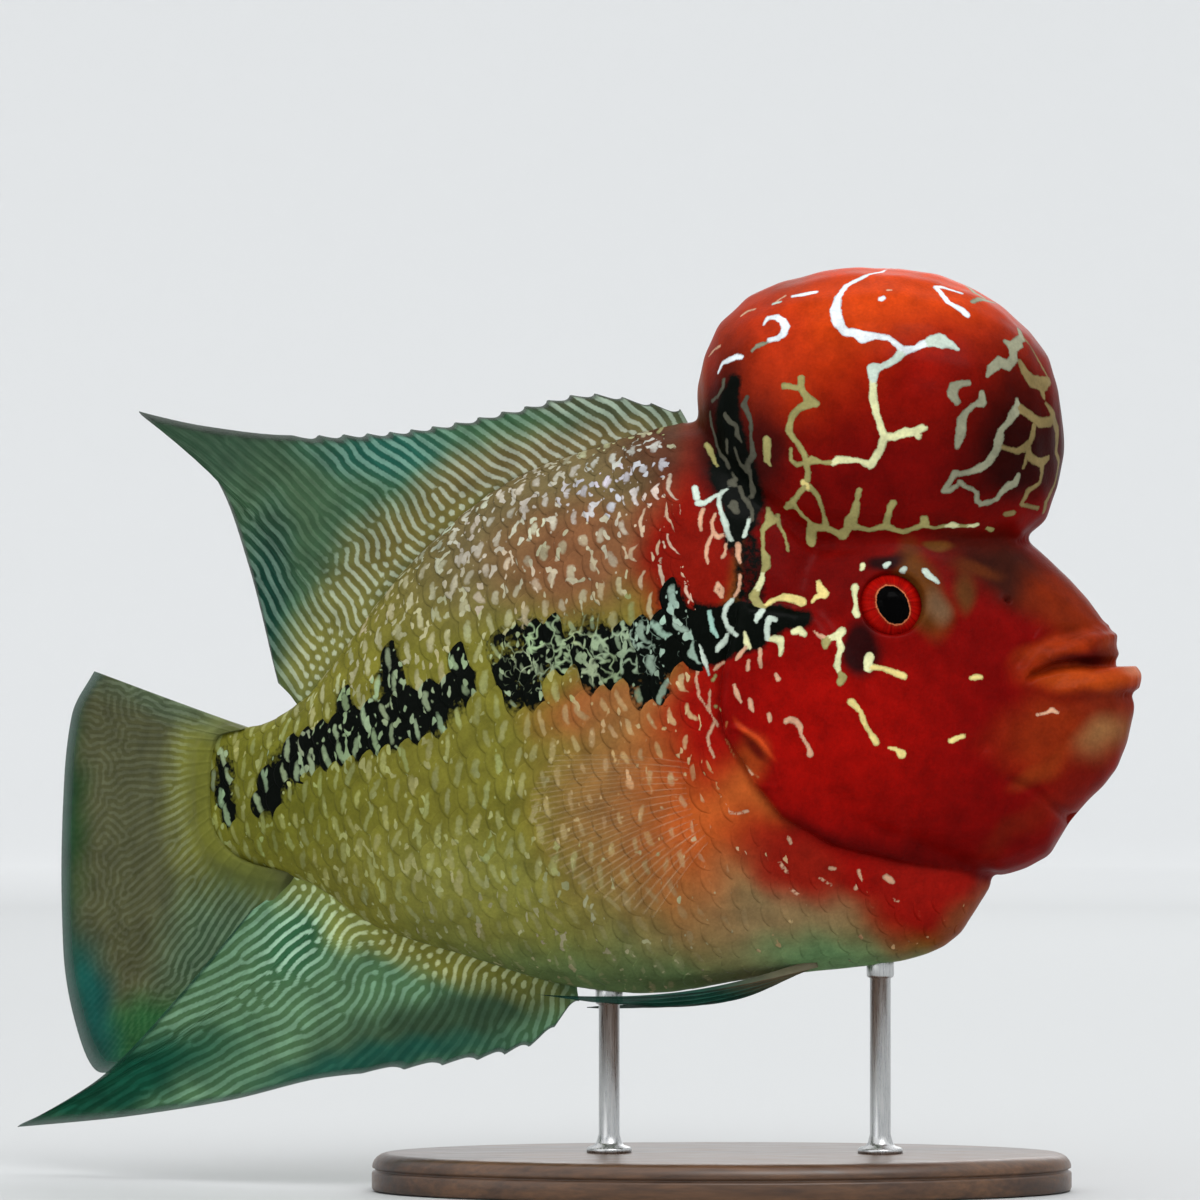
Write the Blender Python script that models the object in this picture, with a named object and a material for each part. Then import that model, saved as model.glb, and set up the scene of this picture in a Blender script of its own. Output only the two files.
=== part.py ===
# Flowerhorn cichlid: a life-size museum model of an adult male on a display stand.
# The fish swims towards +X with its back up (+Z) and its left side towards +Y. Its tail swings to +Y.
# Sizes are in millimetres and become metres in place(). x runs along the fish as seen from its side,
# side is the distance to the fish's left of its bent midline, and z is the height over the floor.

import math

import bmesh
import bpy
import numpy as np
from mathutils import Euler, Matrix, Vector

for leftover in list(bpy.data.objects):
    bpy.data.objects.remove(leftover)

MM = 0.001
GAP = 0.3  # between two pieces that touch

# Midline of the fish seen from above: (x, y). The head turns to the right and the tail to the left.
MIDLINE = ((134, -7), (60, -1.5), (20, 0), (-30, 4), (-65, 15), (-91, 28), (-125, 62))

# Trunk and tail stalk, from the end of the stalk to the front of the chest.
STALK_END = -91.2
CHEST_END = 98.5
STALK_START = -62.0
BACK = (
    (-91.2, 112.3), (-80, 111), (-67, 117.4), (-55, 132), (-43, 148), (-28, 162.7), (-15.6, 171.4),
    (0, 177.5), (28.8, 184.8), (45, 181), (60, 166), (75, 140), (88, 110), (98.5, 80),
)
BELLY = (
    (-91.2, 77.3), (-80, 76.8), (-65, 73), (-49, 62.5), (-28, 55.9), (0, 48), (16, 46.6), (43, 50.6),
    (77, 54.7), (89, 59.3), (98.5, 73),
)
TRUNK_HALF_WIDTH = (
    (-91.2, 4.6), (-80, 6.8), (-65, 10.2), (-50, 14.6), (-30, 20), (-10, 24.2), (14, 27), (35, 28),
    (55, 26), (75, 20), (88, 15), (95, 10), (98.5, 4),
)

# Head, from inside the shoulders to the chin.
HEAD_START = 40.0
HEAD_END = 132.4
FOREHEAD = (
    (40, 146), (60, 165), (80, 171), (96, 165), (110.4, 153), (118.8, 144.8), (124, 138.4), (127.2, 133),
    (129.5, 127), (132.4, 120),
)
JAW = (
    (40, 100), (61, 84), (77, 79.2), (91, 76.5), (99.4, 75.4), (110, 79), (114.8, 83.2), (117, 88.4),
    (121.4, 93.6), (127.2, 99.6), (130.4, 106.4), (132.4, 115),
)
HEAD_HALF_WIDTH = (
    (40, 23.5), (55, 27.6), (70, 28.4), (85, 26.4), (100, 22.6), (112, 18.6), (122, 14.2), (129, 9.6),
    (132.4, 3.8),
)

# Fatty hump on the forehead: centre, half sizes, how square its sides are (2 is an ellipsoid), and where
# its outline swells (degrees, share, spread).
HUMP_CENTRE = (71.9, 184.8)
HUMP_HALF_SIZE = (43.6, 30.5, 36.5)
HUMP_FULLNESS = 2.3
HUMP_SWELLS = ((138, 0.08, 26), (-42, 0.13, 22))

# Edge of the gill cover, from its top round the ear-like flap to the throat: (x, z).
GILL_EDGE = (
    (38.5, 140), (34.4, 124), (33.8, 116), (35.3, 109.7), (40.8, 99.8), (48.7, 90), (61, 83.3),
    (77, 79.2), (91, 77.3),
)
GILL_PLATE_FRONT = ((77, 88), (71, 108), (66, 124), (56, 138))
GILL_PLATE_LIFT = 1.5
GILL_PLATE_HINGE = (84.0, 46.0)

# Lips: corner and front of each as (x, z), half width of the mouth, and thickness at the front.
MOUTH_HALF_WIDTH = 15.5
UPPER_LIP = {"corner": (108.5, 126.2), "front": (124.7, 132.2), "radius": 4.1}
LOWER_LIP = {"corner": (109.5, 118.6), "front": (130.1, 122.9), "radius": 4.4}
LIP_CORNER_SHARE = 0.62  # a lip's thickness at its corners, as a share of that in front

# Eyes: flattened balls sunk in the head.
EYE_AT = (74.9, 139.9)
EYE_RADIUS = 8.2
EYE_DEPTH = 5.8
EYE_SIDE = 21.2
EYE_FORWARD_DEG = 7.0
EYE_UP_DEG = 13.0

# Fins on the midline, as guide rays from base to tip: ((x, z), (x, z)), front first.
DORSAL_RAYS = (
    ((27.5, 184), (24, 187.5)), ((14.4, 181.5), (2.2, 191.3)), ((-1.9, 176.9), (-15.6, 187.7)),
    ((-15.6, 171.4), (-33.6, 183.8)), ((-28.1, 162.7), (-50.4, 181.9)), ((-38.4, 153.6), (-69.6, 181.4)),
    ((-45.6, 144.8), (-91.2, 183.8)), ((-51.6, 137), (-107.5, 187.5)), ((-56.4, 130), (-88.6, 171.4)),
    ((-61.2, 124), (-80.4, 150)), ((-66.5, 117.8), (-73.2, 121.5)),
)
DORSAL_SPINES = 16
DORSAL_SPINE_SHARE = 0.5
SPINE_NOTCH = 3.0  # how far the membrane drops behind each spine
ANAL_RAYS = (
    ((-1.2, 48.4), (-0.2, 45.2)), ((-7.2, 49.8), (-12, 34.4)), ((-13, 51.6), (-24, 31.2)),
    ((-21.6, 54.4), (-41, 28.8)), ((-30, 56.4), (-61, 26.6)), ((-38.6, 58.9), (-86, 20.2)),
    ((-46.8, 61.6), (-115.5, 15)), ((-52.8, 64.8), (-138, 12.4)), ((-56.4, 68.2), (-118.5, 24)),
    ((-60, 71.6), (-96, 44.9)), ((-63, 73.2), (-76.3, 65.3)),
)
ANAL_SPINES = 7
ANAL_SPINE_SHARE = 0.36
TAIL_RAYS = (
    ((-88, 112.6), (-120, 124)), ((-90.2, 109), (-126, 113)), ((-90.6, 102), (-128, 97)),
    ((-90.6, 95), (-128.6, 76)), ((-90.4, 88), (-128, 55)), ((-89, 82), (-125, 37.5)),
    ((-86.5, 78), (-118, 25)), ((-83, 76.8), (-104, 22.5)),
)
FIN_SINK = 3.5  # how far the fins reach under the skin before the body is cut out of them
FIN_THICKNESS = (2.4, 0.7)  # at the base and at the edge
THIN_BY = 1.6  # a fin has thinned to its edge at 1 / THIN_BY of its height
RAY_BOW = 0.05  # bow of a ray, as a share of its length
SOFT_COLUMNS = 14

# Paired fins, as guide rays with the side distance: ((x, side, z), (x, side, z)), upper or outer first.
PECTORAL_RAYS = (
    ((37, 23.5, 101), (-3, 37, 105)), ((36.4, 23, 98.4), (-8.5, 38, 95)), ((36, 22.5, 95.6), (-6, 37.5, 84)),
    ((36, 22, 92.8), (3, 35.5, 74)), ((36.6, 21.5, 90), (19, 32, 66.5)),
)
PELVIC_RAYS = {
    "right": (((57, 8, 55), (-8.4, 21, 47.8)), ((55, 6.6, 54), (10, 17.5, 45.6)), ((52, 5.4, 53.2), (24, 10.5, 46.8))),
    "left": (((57, 8, 55), (0, 24, 42.6)), ((55, 6.6, 54), (14, 19, 43.4)), ((52, 5.4, 53.2), (26, 11, 46))),
}
PECTORAL_SAG = -1.5
PELVIC_SAG = 3.4
PAIRED_FIN_THICKNESS = (1.4, 0.6)

# Display stand: an oval base, and two rods up to the belly.
BASE_CENTRE = (34.0, 0.0)
BASE_SIZE = (168.0, 86.0)
BASE_THICKNESS = 9.0
BASE_BEVEL = 1.5
ROD_RADIUS = 2.5
ROD_AT = {"front": 72.0, "rear": 7.0}
ROD_TOP = 66.0


def curve_through(points):
    """A smooth curve through (x, value) points that doesn't overshoot, going on straight past its ends."""
    x, value = np.array(sorted(points), float).T
    step = np.diff(x)
    slope = np.diff(value) / step
    bends = slope[:-1] * slope[1:] > 0
    mean = 2 * slope[:-1] * slope[1:] / np.where(bends, slope[:-1] + slope[1:], 1)
    tangent = np.concatenate([[slope[0]], np.where(bends, mean, 0), [slope[-1]]])

    def value_at(at):
        if at <= x[0]:
            return value[0] + tangent[0] * (at - x[0])
        if at >= x[-1]:
            return value[-1] + tangent[-1] * (at - x[-1])
        i = int(np.searchsorted(x, at, side="right")) - 1
        t = (at - x[i]) / step[i]
        ends = value[i] * (1 + 2 * t) * (1 - t) ** 2 + value[i + 1] * t * t * (3 - 2 * t)
        return ends + step[i] * (tangent[i] * t * (1 - t) ** 2 + tangent[i + 1] * t * t * (t - 1))

    return value_at


midline = curve_through(MIDLINE)


def midline_slope(x):
    return (midline(x + 1) - midline(x - 1)) / 2


def place(x, side, z):
    """The point at x, side and z, in metres, in the bent fish."""
    turn = math.atan(midline_slope(x))
    return Vector((x - side * math.sin(turn), midline(x) + side * math.cos(turn), z)) * MM


def paint(name, colour, roughness, metallic=0.0):
    material = bpy.data.materials.new(name)
    material.use_nodes = True
    shader = material.node_tree.nodes["Principled BSDF"]
    shader.inputs["Base Color"].default_value = (*colour, 1)
    shader.inputs["Roughness"].default_value = roughness
    shader.inputs["Metallic"].default_value = metallic
    return material


RED_SKIN = paint("red skin", (0.50, 0.02, 0.01), 0.35)
HUMP_SKIN = paint("hump skin", (0.58, 0.05, 0.015), 0.35)
OLIVE_SKIN = paint("olive skin", (0.30, 0.27, 0.09), 0.4)
LIP_SKIN = paint("lip skin", (0.70, 0.12, 0.04), 0.4)
FIN_MEMBRANE = paint("fin membrane", (0.16, 0.30, 0.24), 0.35)
CLEAR_MEMBRANE = paint("clear membrane", (0.55, 0.33, 0.20), 0.3)
EYE_GLASS = paint("eye", (0.35, 0.01, 0.01), 0.05)
BASE_WOOD = paint("dark wood", (0.07, 0.035, 0.02), 0.4)
ROD_STEEL = paint("steel", (0.6, 0.6, 0.6), 0.3, 1.0)


def new_object(name, mesh, material=None):
    item = bpy.data.objects.new(name, mesh)
    bpy.context.scene.collection.objects.link(item)
    if material:
        mesh.materials.clear()
        mesh.materials.append(material)
    mesh.shade_smooth()
    return item


def helper(item):
    item.hide_render = True
    item.display_type = "WIRE"
    return item


def mesh_of(item):
    """The object's mesh with its modifiers applied, in world space."""
    bpy.context.view_layer.update()
    graph = bpy.context.evaluated_depsgraph_get()
    mesh = bpy.data.meshes.new_from_object(item.evaluated_get(graph))
    mesh.transform(item.matrix_world)
    return mesh


def boolean(item, operation, *others):
    for other in others:
        modifier = item.modifiers.new(operation.lower(), "BOOLEAN")
        modifier.operation = operation
        modifier.object = other
    return item


def lofted(name, rings, material=None):
    """A closed solid over rings of points that run anticlockwise seen from its far end."""
    shape = bmesh.new()
    rows = [[shape.verts.new(point) for point in ring] for ring in rings]
    for near, far in zip(rows, rows[1:]):
        for i in range(len(near)):
            j = (i + 1) % len(near)
            shape.faces.new((near[i], near[j], far[j], far[i]))
    shape.faces.new(reversed(rows[0]))
    shape.faces.new(rows[-1])
    bmesh.ops.recalc_face_normals(shape, faces=shape.faces)
    mesh = bpy.data.meshes.new(name)
    shape.to_mesh(mesh)
    return new_object(name, mesh, material)


def section(x, top, bottom, half_width, widest, roundness, points=26):
    """One slice of the body at x. widest is the height of its widest level, as a share."""
    middle = bottom + widest * (top - bottom)
    ring = []
    for i in range(points):
        angle = 2 * math.pi * i / points
        across = math.cos(angle)
        up = math.sin(angle)
        power = 2 / (roundness[0] if up > 0 else roundness[1])
        side = half_width * math.copysign(abs(across) ** power, across)
        reach = (top if up > 0 else bottom) - middle
        ring.append(place(x, side, middle + reach * abs(up) ** power))
    return ring


def body_of_slices(name, start, end, count, crowd, curves, widest, roundness):
    """A body lofted from start to end. crowd, from 0 to 1, packs the slices towards both ends."""
    top, bottom, half_width = (curve_through(points) for points in curves)
    rings = []
    for i in range(count):
        even = i / (count - 1)
        packed = (1 - math.cos(math.pi * even)) / 2
        x = start + (end - start) * (even + crowd * (packed - even))
        rings.append(section(x, top(x), bottom(x), half_width(x), widest, roundness))
    return lofted(name, rings)


def swollen_mesh(name, mesh, swelling):
    """A copy of a mesh with each point moved outwards by swelling(point), in millimetres."""
    shape = bmesh.new()
    shape.from_mesh(mesh)
    bmesh.ops.remove_doubles(shape, verts=shape.verts, dist=0.05 * MM)
    bmesh.ops.triangulate(shape, faces=shape.faces)
    shape.normal_update()
    moves = [vertex.normal * swelling(vertex.co) * MM for vertex in shape.verts]
    for vertex, move in zip(shape.verts, moves):
        vertex.co += move
    copy = bpy.data.meshes.new(name)
    shape.to_mesh(copy)
    return copy


def slab(name, outline, side_from=-70, side_to=70, grow=0.0):
    """A flat-sided prism across the fish over an outline of (x, z) points, for cutting."""
    points = np.array(outline, float)
    before = points - np.roll(points, 1, axis=0)
    after = np.roll(points, -1, axis=0) - points
    along = before / np.linalg.norm(before, axis=1)[:, None] + after / np.linalg.norm(after, axis=1)[:, None]
    along /= np.linalg.norm(along, axis=1)[:, None]
    turning = np.sign(np.sum(before[:, 0] * after[:, 1] - before[:, 1] * after[:, 0]))
    points = points + grow * turning * np.column_stack([along[:, 1], -along[:, 0]])
    rings = [[Vector((x, y, z)) * MM for x, z in points] for y in (side_from, side_to)]
    return helper(lofted(name, rings))


# The body, made whole and then parted
trunk_whole = helper(body_of_slices(
    "trunk_whole", STALK_END, CHEST_END, 34, 0.45, (BACK, BELLY, TRUNK_HALF_WIDTH), 0.5, (2.1, 2.15)))
head_whole = helper(body_of_slices(
    "head_whole", HEAD_START, HEAD_END, 22, 0.7, (FOREHEAD, JAW, HEAD_HALF_WIDTH), 0.42, (2.15, 2.7)))
body_mesh = mesh_of(boolean(trunk_whole, "UNION", head_whole))
body_skin = helper(new_object("body_skin", swollen_mesh("body_skin", body_mesh, lambda point: GAP)))

HEAD_REGION = ((30, 240), (36, 190), (40, 165), *GILL_EDGE, (101, 73), (150, 66), (150, 240))
head_region = slab("head_region", HEAD_REGION)
head_region_grown = slab("head_region_grown", HEAD_REGION, -75, 75, GAP)
STALK_REGION = ((-150, 20), (STALK_START - 4, 20), (STALK_START, 95), (STALK_START - 4, 200), (-150, 200))
stalk_region = slab("stalk_region", STALK_REGION)
stalk_region_grown = slab("stalk_region_grown", STALK_REGION, -75, 75, GAP)

trunk = boolean(new_object("trunk", body_mesh.copy(), OLIVE_SKIN), "DIFFERENCE", head_region_grown, stalk_region_grown)
tail_stalk = boolean(new_object("tail_stalk", body_mesh.copy(), OLIVE_SKIN), "INTERSECT", stalk_region)
head = boolean(new_object("head", body_mesh.copy(), RED_SKIN), "INTERSECT", head_region)


def hump_mesh(name, grow, material=None, across=25, down=15):
    """The hump as a ball of rings along the fish, swollen where HUMP_SWELLS says."""
    rings = []
    for i in range(1, down):
        lean = math.pi * i / down
        ring = []
        for j in range(across):
            angle = 2 * math.pi * j / across
            ahead = -math.cos(lean)
            up = math.sin(lean) * math.sin(angle)
            aside = math.sin(lean) * math.cos(angle)
            facing = math.degrees(math.atan2(up, ahead))
            swell = sum(share * math.exp(-(((facing - at) / spread) ** 2)) for at, share, spread in HUMP_SWELLS)
            flat = math.hypot(up, ahead)
            full = (flat**HUMP_FULLNESS + abs(aside) ** HUMP_FULLNESS) ** (-1 / HUMP_FULLNESS)
            size = full * (1 + swell * flat * flat)
            half = [reach + grow for reach in HUMP_HALF_SIZE]
            ring.append(place(
                HUMP_CENTRE[0] + half[0] * ahead * size,
                half[1] * aside * full,
                HUMP_CENTRE[1] + half[2] * up * size,
            ))
        rings.append(ring)
    return lofted(name, rings, material)


hump = boolean(hump_mesh("nuchal_hump", 0, HUMP_SKIN), "DIFFERENCE", body_skin)
hump_skin = helper(hump_mesh("hump_skin", GAP))


def gill_plate(name, sign):
    """The hard gill cover of one side: a shell on the head that thickens towards its free rear edge."""
    def lift(point):
        share = (GILL_PLATE_HINGE[0] - point.x / MM) / (GILL_PLATE_HINGE[0] - GILL_PLATE_HINGE[1])
        share = min(max(share, 0), 1)
        return GAP + 0.55 + (GILL_PLATE_LIFT - 0.55) * share * share * (3 - 2 * share)

    outline = slab(name + "_outline", (*GILL_EDGE[:-1], *GILL_PLATE_FRONT), *sorted((sign * 6, sign * 60)))
    plate = new_object(name, swollen_mesh(name, body_mesh, lift), RED_SKIN)
    boolean(plate, "INTERSECT", outline)
    boolean(plate, "DIFFERENCE", body_skin)
    for modifier in plate.modifiers:
        modifier.use_self = True  # the swollen shell folds into itself a little at the throat


gill_plate("gill_cover_right", -1)
gill_plate("gill_cover_left", 1)


def lip(name, form):
    """A lip that runs round the mouth from corner to corner, fullest in front."""
    guide = bpy.data.curves.new(name, "CURVE")
    guide.dimensions = "3D"
    guide.bevel_depth = form["radius"] * MM
    guide.bevel_resolution = 2
    guide.use_fill_caps = True
    spline = guide.splines.new("POLY")
    count = 15
    spline.points.add(count - 1)
    for i, point in enumerate(spline.points):
        angle = math.pi * (i / (count - 1) - 0.5)
        forward = math.cos(angle)
        x = form["corner"][0] + (form["front"][0] - form["corner"][0]) * forward
        z = form["corner"][1] + (form["front"][1] - form["corner"][1]) * forward
        point.co = (*place(x, MOUTH_HALF_WIDTH * math.sin(angle), z), 1)
        point.radius = LIP_CORNER_SHARE + (1 - LIP_CORNER_SHARE) * forward
    line = bpy.data.objects.new(name + "_line", guide)
    bpy.context.scene.collection.objects.link(line)
    boolean(new_object(name, mesh_of(helper(line)), LIP_SKIN), "DIFFERENCE", body_skin)


lip("upper_lip", UPPER_LIP)
lip("lower_lip", LOWER_LIP)


def eye(name, sign, grow=0.0, material=None):
    """A flattened ball whose short axis looks out of the head."""
    mesh = bpy.data.meshes.new(name)
    shape = bmesh.new()
    bmesh.ops.create_uvsphere(shape, u_segments=14, v_segments=9, radius=1)
    radius = (EYE_RADIUS + grow) * MM
    depth = (EYE_DEPTH + grow) * MM
    turn = Euler((math.radians(sign * EYE_UP_DEG - 90 * sign), 0, math.radians(-sign * EYE_FORWARD_DEG)))
    centre = place(EYE_AT[0], sign * EYE_SIDE, EYE_AT[1])
    sizes = Matrix.Diagonal((radius, radius, depth, 1))
    bmesh.ops.transform(shape, matrix=Matrix.Translation(centre) @ turn.to_matrix().to_4x4() @ sizes, verts=shape.verts)
    bmesh.ops.recalc_face_normals(shape, faces=shape.faces)
    shape.to_mesh(mesh)
    return new_object(name, mesh, material)


for side_name, side_sign in (("right", -1), ("left", 1)):
    eye("eye_" + side_name, side_sign, 0, EYE_GLASS)
    boolean(head, "DIFFERENCE", helper(eye("socket_" + side_name, side_sign, GAP)))


def blade(name, point_at, thickness, columns, rows, material):
    """A thin closed solid about a sheet of points: point_at(u, v) with u along its base and v outwards.

    columns are its u values, front to rear, and thickness is that of its base and of its edge.
    """
    grid = [[point_at(u, j / rows) for j in range(rows + 1)] for u in columns]
    last = len(columns) - 1
    shape = bmesh.new()
    sheets = {1: [], -1: []}
    for way, sheet in sheets.items():
        for i in range(last + 1):
            column = []
            for j in range(rows + 1):
                along = grid[min(i + 1, last)][j] - grid[max(i - 1, 0)][j]
                outward = grid[i][min(j + 1, rows)] - grid[i][max(j - 1, 0)]
                normal = along.cross(outward).normalized()
                thinning = min(1, THIN_BY * j / rows)
                half = (thickness[0] + (thickness[1] - thickness[0]) * thinning) / 2 * MM
                column.append(shape.verts.new(grid[i][j] + normal * half * way))
            sheet.append(column)
        for i in range(last):
            for j in range(rows):
                shape.faces.new((sheet[i][j], sheet[i + 1][j], sheet[i + 1][j + 1], sheet[i][j + 1]))
    rim = [(i, 0) for i in range(last)] + [(last, j) for j in range(rows)]
    rim += [(i, rows) for i in range(last, 0, -1)] + [(0, j) for j in range(rows, 0, -1)]
    for (a, b), (c, d) in zip(rim, rim[1:] + rim[:1]):
        shape.faces.new((sheets[1][a][b], sheets[1][c][d], sheets[-1][c][d], sheets[-1][a][b]))
    bmesh.ops.recalc_face_normals(shape, faces=shape.faces)
    mesh = bpy.data.meshes.new(name)
    shape.to_mesh(mesh)
    return new_object(name, mesh, material)


def between_rays(rays):
    """base(u) and tip(u) of the ray at u, from 0 at the first guide ray to 1 at the last."""
    at = [i / (len(rays) - 1) for i in range(len(rays))]
    ends = []
    for end in (0, 1):
        size = len(rays[0][end])
        ends.append([curve_through([(u, ray[end][axis]) for u, ray in zip(at, rays)]) for axis in range(size)])
    return [lambda u, axes=axes: Vector([axis(u) for axis in axes]) for axes in ends]


def midline_fin(name, rays, up, spines, spine_share, trail, ripple):
    """A fin along the back (up is 1), under the belly (-1) or on the tail stalk (0).

    trail says how straight back its rays point from their bases: 0 follows the bent midline.
    """
    base, tip = between_rays(rays)
    sink = Vector((0, -up * FIN_SINK)) if up else Vector((FIN_SINK, 0))

    def point_at(u, v):
        start = base(u) + sink
        end = tip(u)
        if u < spine_share:
            behind_spine = (u / spine_share * spines + 0.001) % 1
            end = end - (end - start).normalized() * SPINE_NOTCH * behind_spine
        flat = start.lerp(end, v)
        flat.y += up * RAY_BOW * (end - start).length * math.sin(math.pi * v)
        straight = midline(start.x) + midline_slope(start.x) * (flat.x - start.x)
        y = midline(flat.x) + (straight - midline(flat.x)) * trail
        y += ripple * v * v * math.sin(2.5 * math.pi * u)
        return Vector((flat.x, y, flat.y)) * MM

    toothed = [spine_share * (i + behind) / spines for i in range(spines) for behind in (0, 0.92)]
    smooth = [spine_share + (1 - spine_share) * i / SOFT_COLUMNS for i in range(SOFT_COLUMNS + 1)]
    fin = blade(name, point_at, FIN_THICKNESS, toothed + smooth, 3 if up else 4, FIN_MEMBRANE)
    return boolean(fin, "DIFFERENCE", body_skin)


boolean(midline_fin("dorsal_fin", DORSAL_RAYS, 1, DORSAL_SPINES, DORSAL_SPINE_SHARE, 0.9, 1.5), "DIFFERENCE", hump_skin)
midline_fin("anal_fin", ANAL_RAYS, -1, ANAL_SPINES, ANAL_SPINE_SHARE, 1.0, -1.5)
midline_fin("caudal_fin", TAIL_RAYS, 0, 0, 0, 0.0, 2.0)


def paired_fin(name, rays, sign, sag, columns, material):
    """A fin of one side, between guide rays. sag bends its rays down between base and tip."""
    base, tip = between_rays(rays)

    def point_at(u, v):
        x, side, z = base(u).lerp(tip(u), v)
        return place(x, sign * side, z - sag * math.sin(math.pi * v))

    fin = blade(name, point_at, PAIRED_FIN_THICKNESS, [i / columns for i in range(columns + 1)], 6, material)
    boolean(fin, "DIFFERENCE", body_skin)


for side_name, side_sign in (("right", -1), ("left", 1)):
    paired_fin("pectoral_fin_" + side_name, PECTORAL_RAYS, side_sign, PECTORAL_SAG, 10, CLEAR_MEMBRANE)
    paired_fin("pelvic_fin_" + side_name, PELVIC_RAYS[side_name], side_sign, PELVIC_SAG, 6, FIN_MEMBRANE)


# Display stand
base_mesh = bpy.data.meshes.new("stand_base")
base_shape = bmesh.new()
bmesh.ops.create_cone(
    base_shape, cap_ends=True, segments=40, radius1=MM / 2, radius2=MM / 2, depth=BASE_THICKNESS * MM)
bmesh.ops.scale(base_shape, vec=(*BASE_SIZE, 1), verts=base_shape.verts)
base_shape.to_mesh(base_mesh)
stand_base = new_object("stand_base", base_mesh, BASE_WOOD)
stand_base.location = Vector((*BASE_CENTRE, BASE_THICKNESS / 2)) * MM
edge = stand_base.modifiers.new("rounded edge", "BEVEL")
edge.width = BASE_BEVEL * MM
edge.segments = 2

for place_name, rod_x in ROD_AT.items():
    rod_mesh = bpy.data.meshes.new("stand_rod_" + place_name)
    rod_shape = bmesh.new()
    rod_bottom = BASE_THICKNESS + GAP
    bmesh.ops.create_cone(
        rod_shape, cap_ends=True, segments=16, radius1=ROD_RADIUS * MM, radius2=ROD_RADIUS * MM,
        depth=(ROD_TOP - rod_bottom) * MM)
    rod_shape.to_mesh(rod_mesh)
    rod = new_object("stand_rod_" + place_name, rod_mesh, ROD_STEEL)
    rod.location = Vector((rod_x, midline(rod_x), (ROD_TOP + rod_bottom) / 2)) * MM
    boolean(rod, "DIFFERENCE", body_skin)

# The origin is under the middle of the whole model, on the floor
bpy.context.view_layer.update()
graph = bpy.context.evaluated_depsgraph_get()
shown = [item for item in bpy.context.scene.objects if not item.hide_render]
corners = [
    item.matrix_world @ Vector(corner) for item in shown for corner in item.evaluated_get(graph).bound_box
]
lowest = Vector(min(corner[axis] for corner in corners) for axis in range(3))
highest = Vector(max(corner[axis] for corner in corners) for axis in range(3))
model = bpy.data.objects.new("model", None)
bpy.context.scene.collection.objects.link(model)
for item in list(bpy.context.scene.objects):
    if item is not model:
        item.parent = model
model.location = Vector((-(lowest.x + highest.x) / 2, -(lowest.y + highest.y) / 2, 0))
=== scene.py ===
import math

import bmesh
import bpy
import numpy as np
from mathutils import Euler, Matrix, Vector
from mathutils.bvhtree import BVHTree
from mathutils.kdtree import KDTree


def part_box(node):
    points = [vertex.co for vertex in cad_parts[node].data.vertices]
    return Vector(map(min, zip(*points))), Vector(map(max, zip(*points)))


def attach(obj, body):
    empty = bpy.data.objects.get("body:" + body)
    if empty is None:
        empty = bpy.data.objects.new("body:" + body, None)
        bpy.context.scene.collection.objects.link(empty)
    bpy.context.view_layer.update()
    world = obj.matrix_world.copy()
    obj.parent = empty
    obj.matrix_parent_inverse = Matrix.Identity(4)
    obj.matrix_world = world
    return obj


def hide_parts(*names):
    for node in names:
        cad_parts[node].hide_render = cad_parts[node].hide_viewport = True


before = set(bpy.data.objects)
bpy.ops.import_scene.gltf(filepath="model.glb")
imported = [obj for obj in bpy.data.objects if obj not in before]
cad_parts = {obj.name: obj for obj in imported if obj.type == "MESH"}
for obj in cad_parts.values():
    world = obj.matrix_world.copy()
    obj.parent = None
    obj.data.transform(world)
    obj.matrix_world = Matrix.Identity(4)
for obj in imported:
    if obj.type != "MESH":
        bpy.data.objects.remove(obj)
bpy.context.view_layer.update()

# The fish's own measure. The modeller works in millimetres: x along the fish as seen from its side, side to
# its left of the bent midline, z above the table. The datum is found from the base's place in the frame.
MM = 0.001
BASE_CENTRE = (34.0, 0.0)
MIDLINE = ((134, -7), (60, -1.5), (20, 0), (-30, 4), (-65, 15), (-91, 28), (-125, 62))
base_low, base_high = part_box("stand_base")
DATUM = np.array([
    (base_low.x + base_high.x) / 2 - BASE_CENTRE[0] * MM,
    (base_low.y + base_high.y) / 2 - BASE_CENTRE[1] * MM,
    0.0,
])


def smooth_curve(points):
    """A smooth curve through (x, value) points that doesn't overshoot. It takes arrays of x."""
    x, value = np.array(sorted(points), float).T
    step = np.diff(x)
    slope = np.diff(value) / step
    bends = slope[:-1] * slope[1:] > 0
    mean = 2 * slope[:-1] * slope[1:] / np.where(bends, slope[:-1] + slope[1:], 1)
    tangent = np.concatenate([[slope[0]], np.where(bends, mean, 0), [slope[-1]]])

    def value_at(at):
        at = np.asarray(at, float)
        i = np.clip(np.searchsorted(x, at, side="right") - 1, 0, len(step) - 1)
        t = np.clip((at - x[i]) / step[i], 0, 1)
        ends = value[i] * (1 + 2 * t) * (1 - t) ** 2 + value[i + 1] * t * t * (3 - 2 * t)
        inside = ends + step[i] * (tangent[i] * t * (1 - t) ** 2 + tangent[i + 1] * t * t * (t - 1))
        return inside + tangent[0] * np.minimum(at - x[0], 0) + tangent[-1] * np.maximum(at - x[-1], 0)

    return value_at


midline = smooth_curve(MIDLINE)


def midline_slope(x):
    return (midline(x + 1) - midline(x - 1)) / 2


def place(x, side, z):
    """Points in the frame, in metres, from arrays of fish millimetres."""
    turn = np.arctan(midline_slope(x))
    across = midline(x) + side * np.cos(turn)
    return np.stack([x - side * np.sin(turn), across, z + 0 * across], axis=-1) * MM + DATUM


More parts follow.
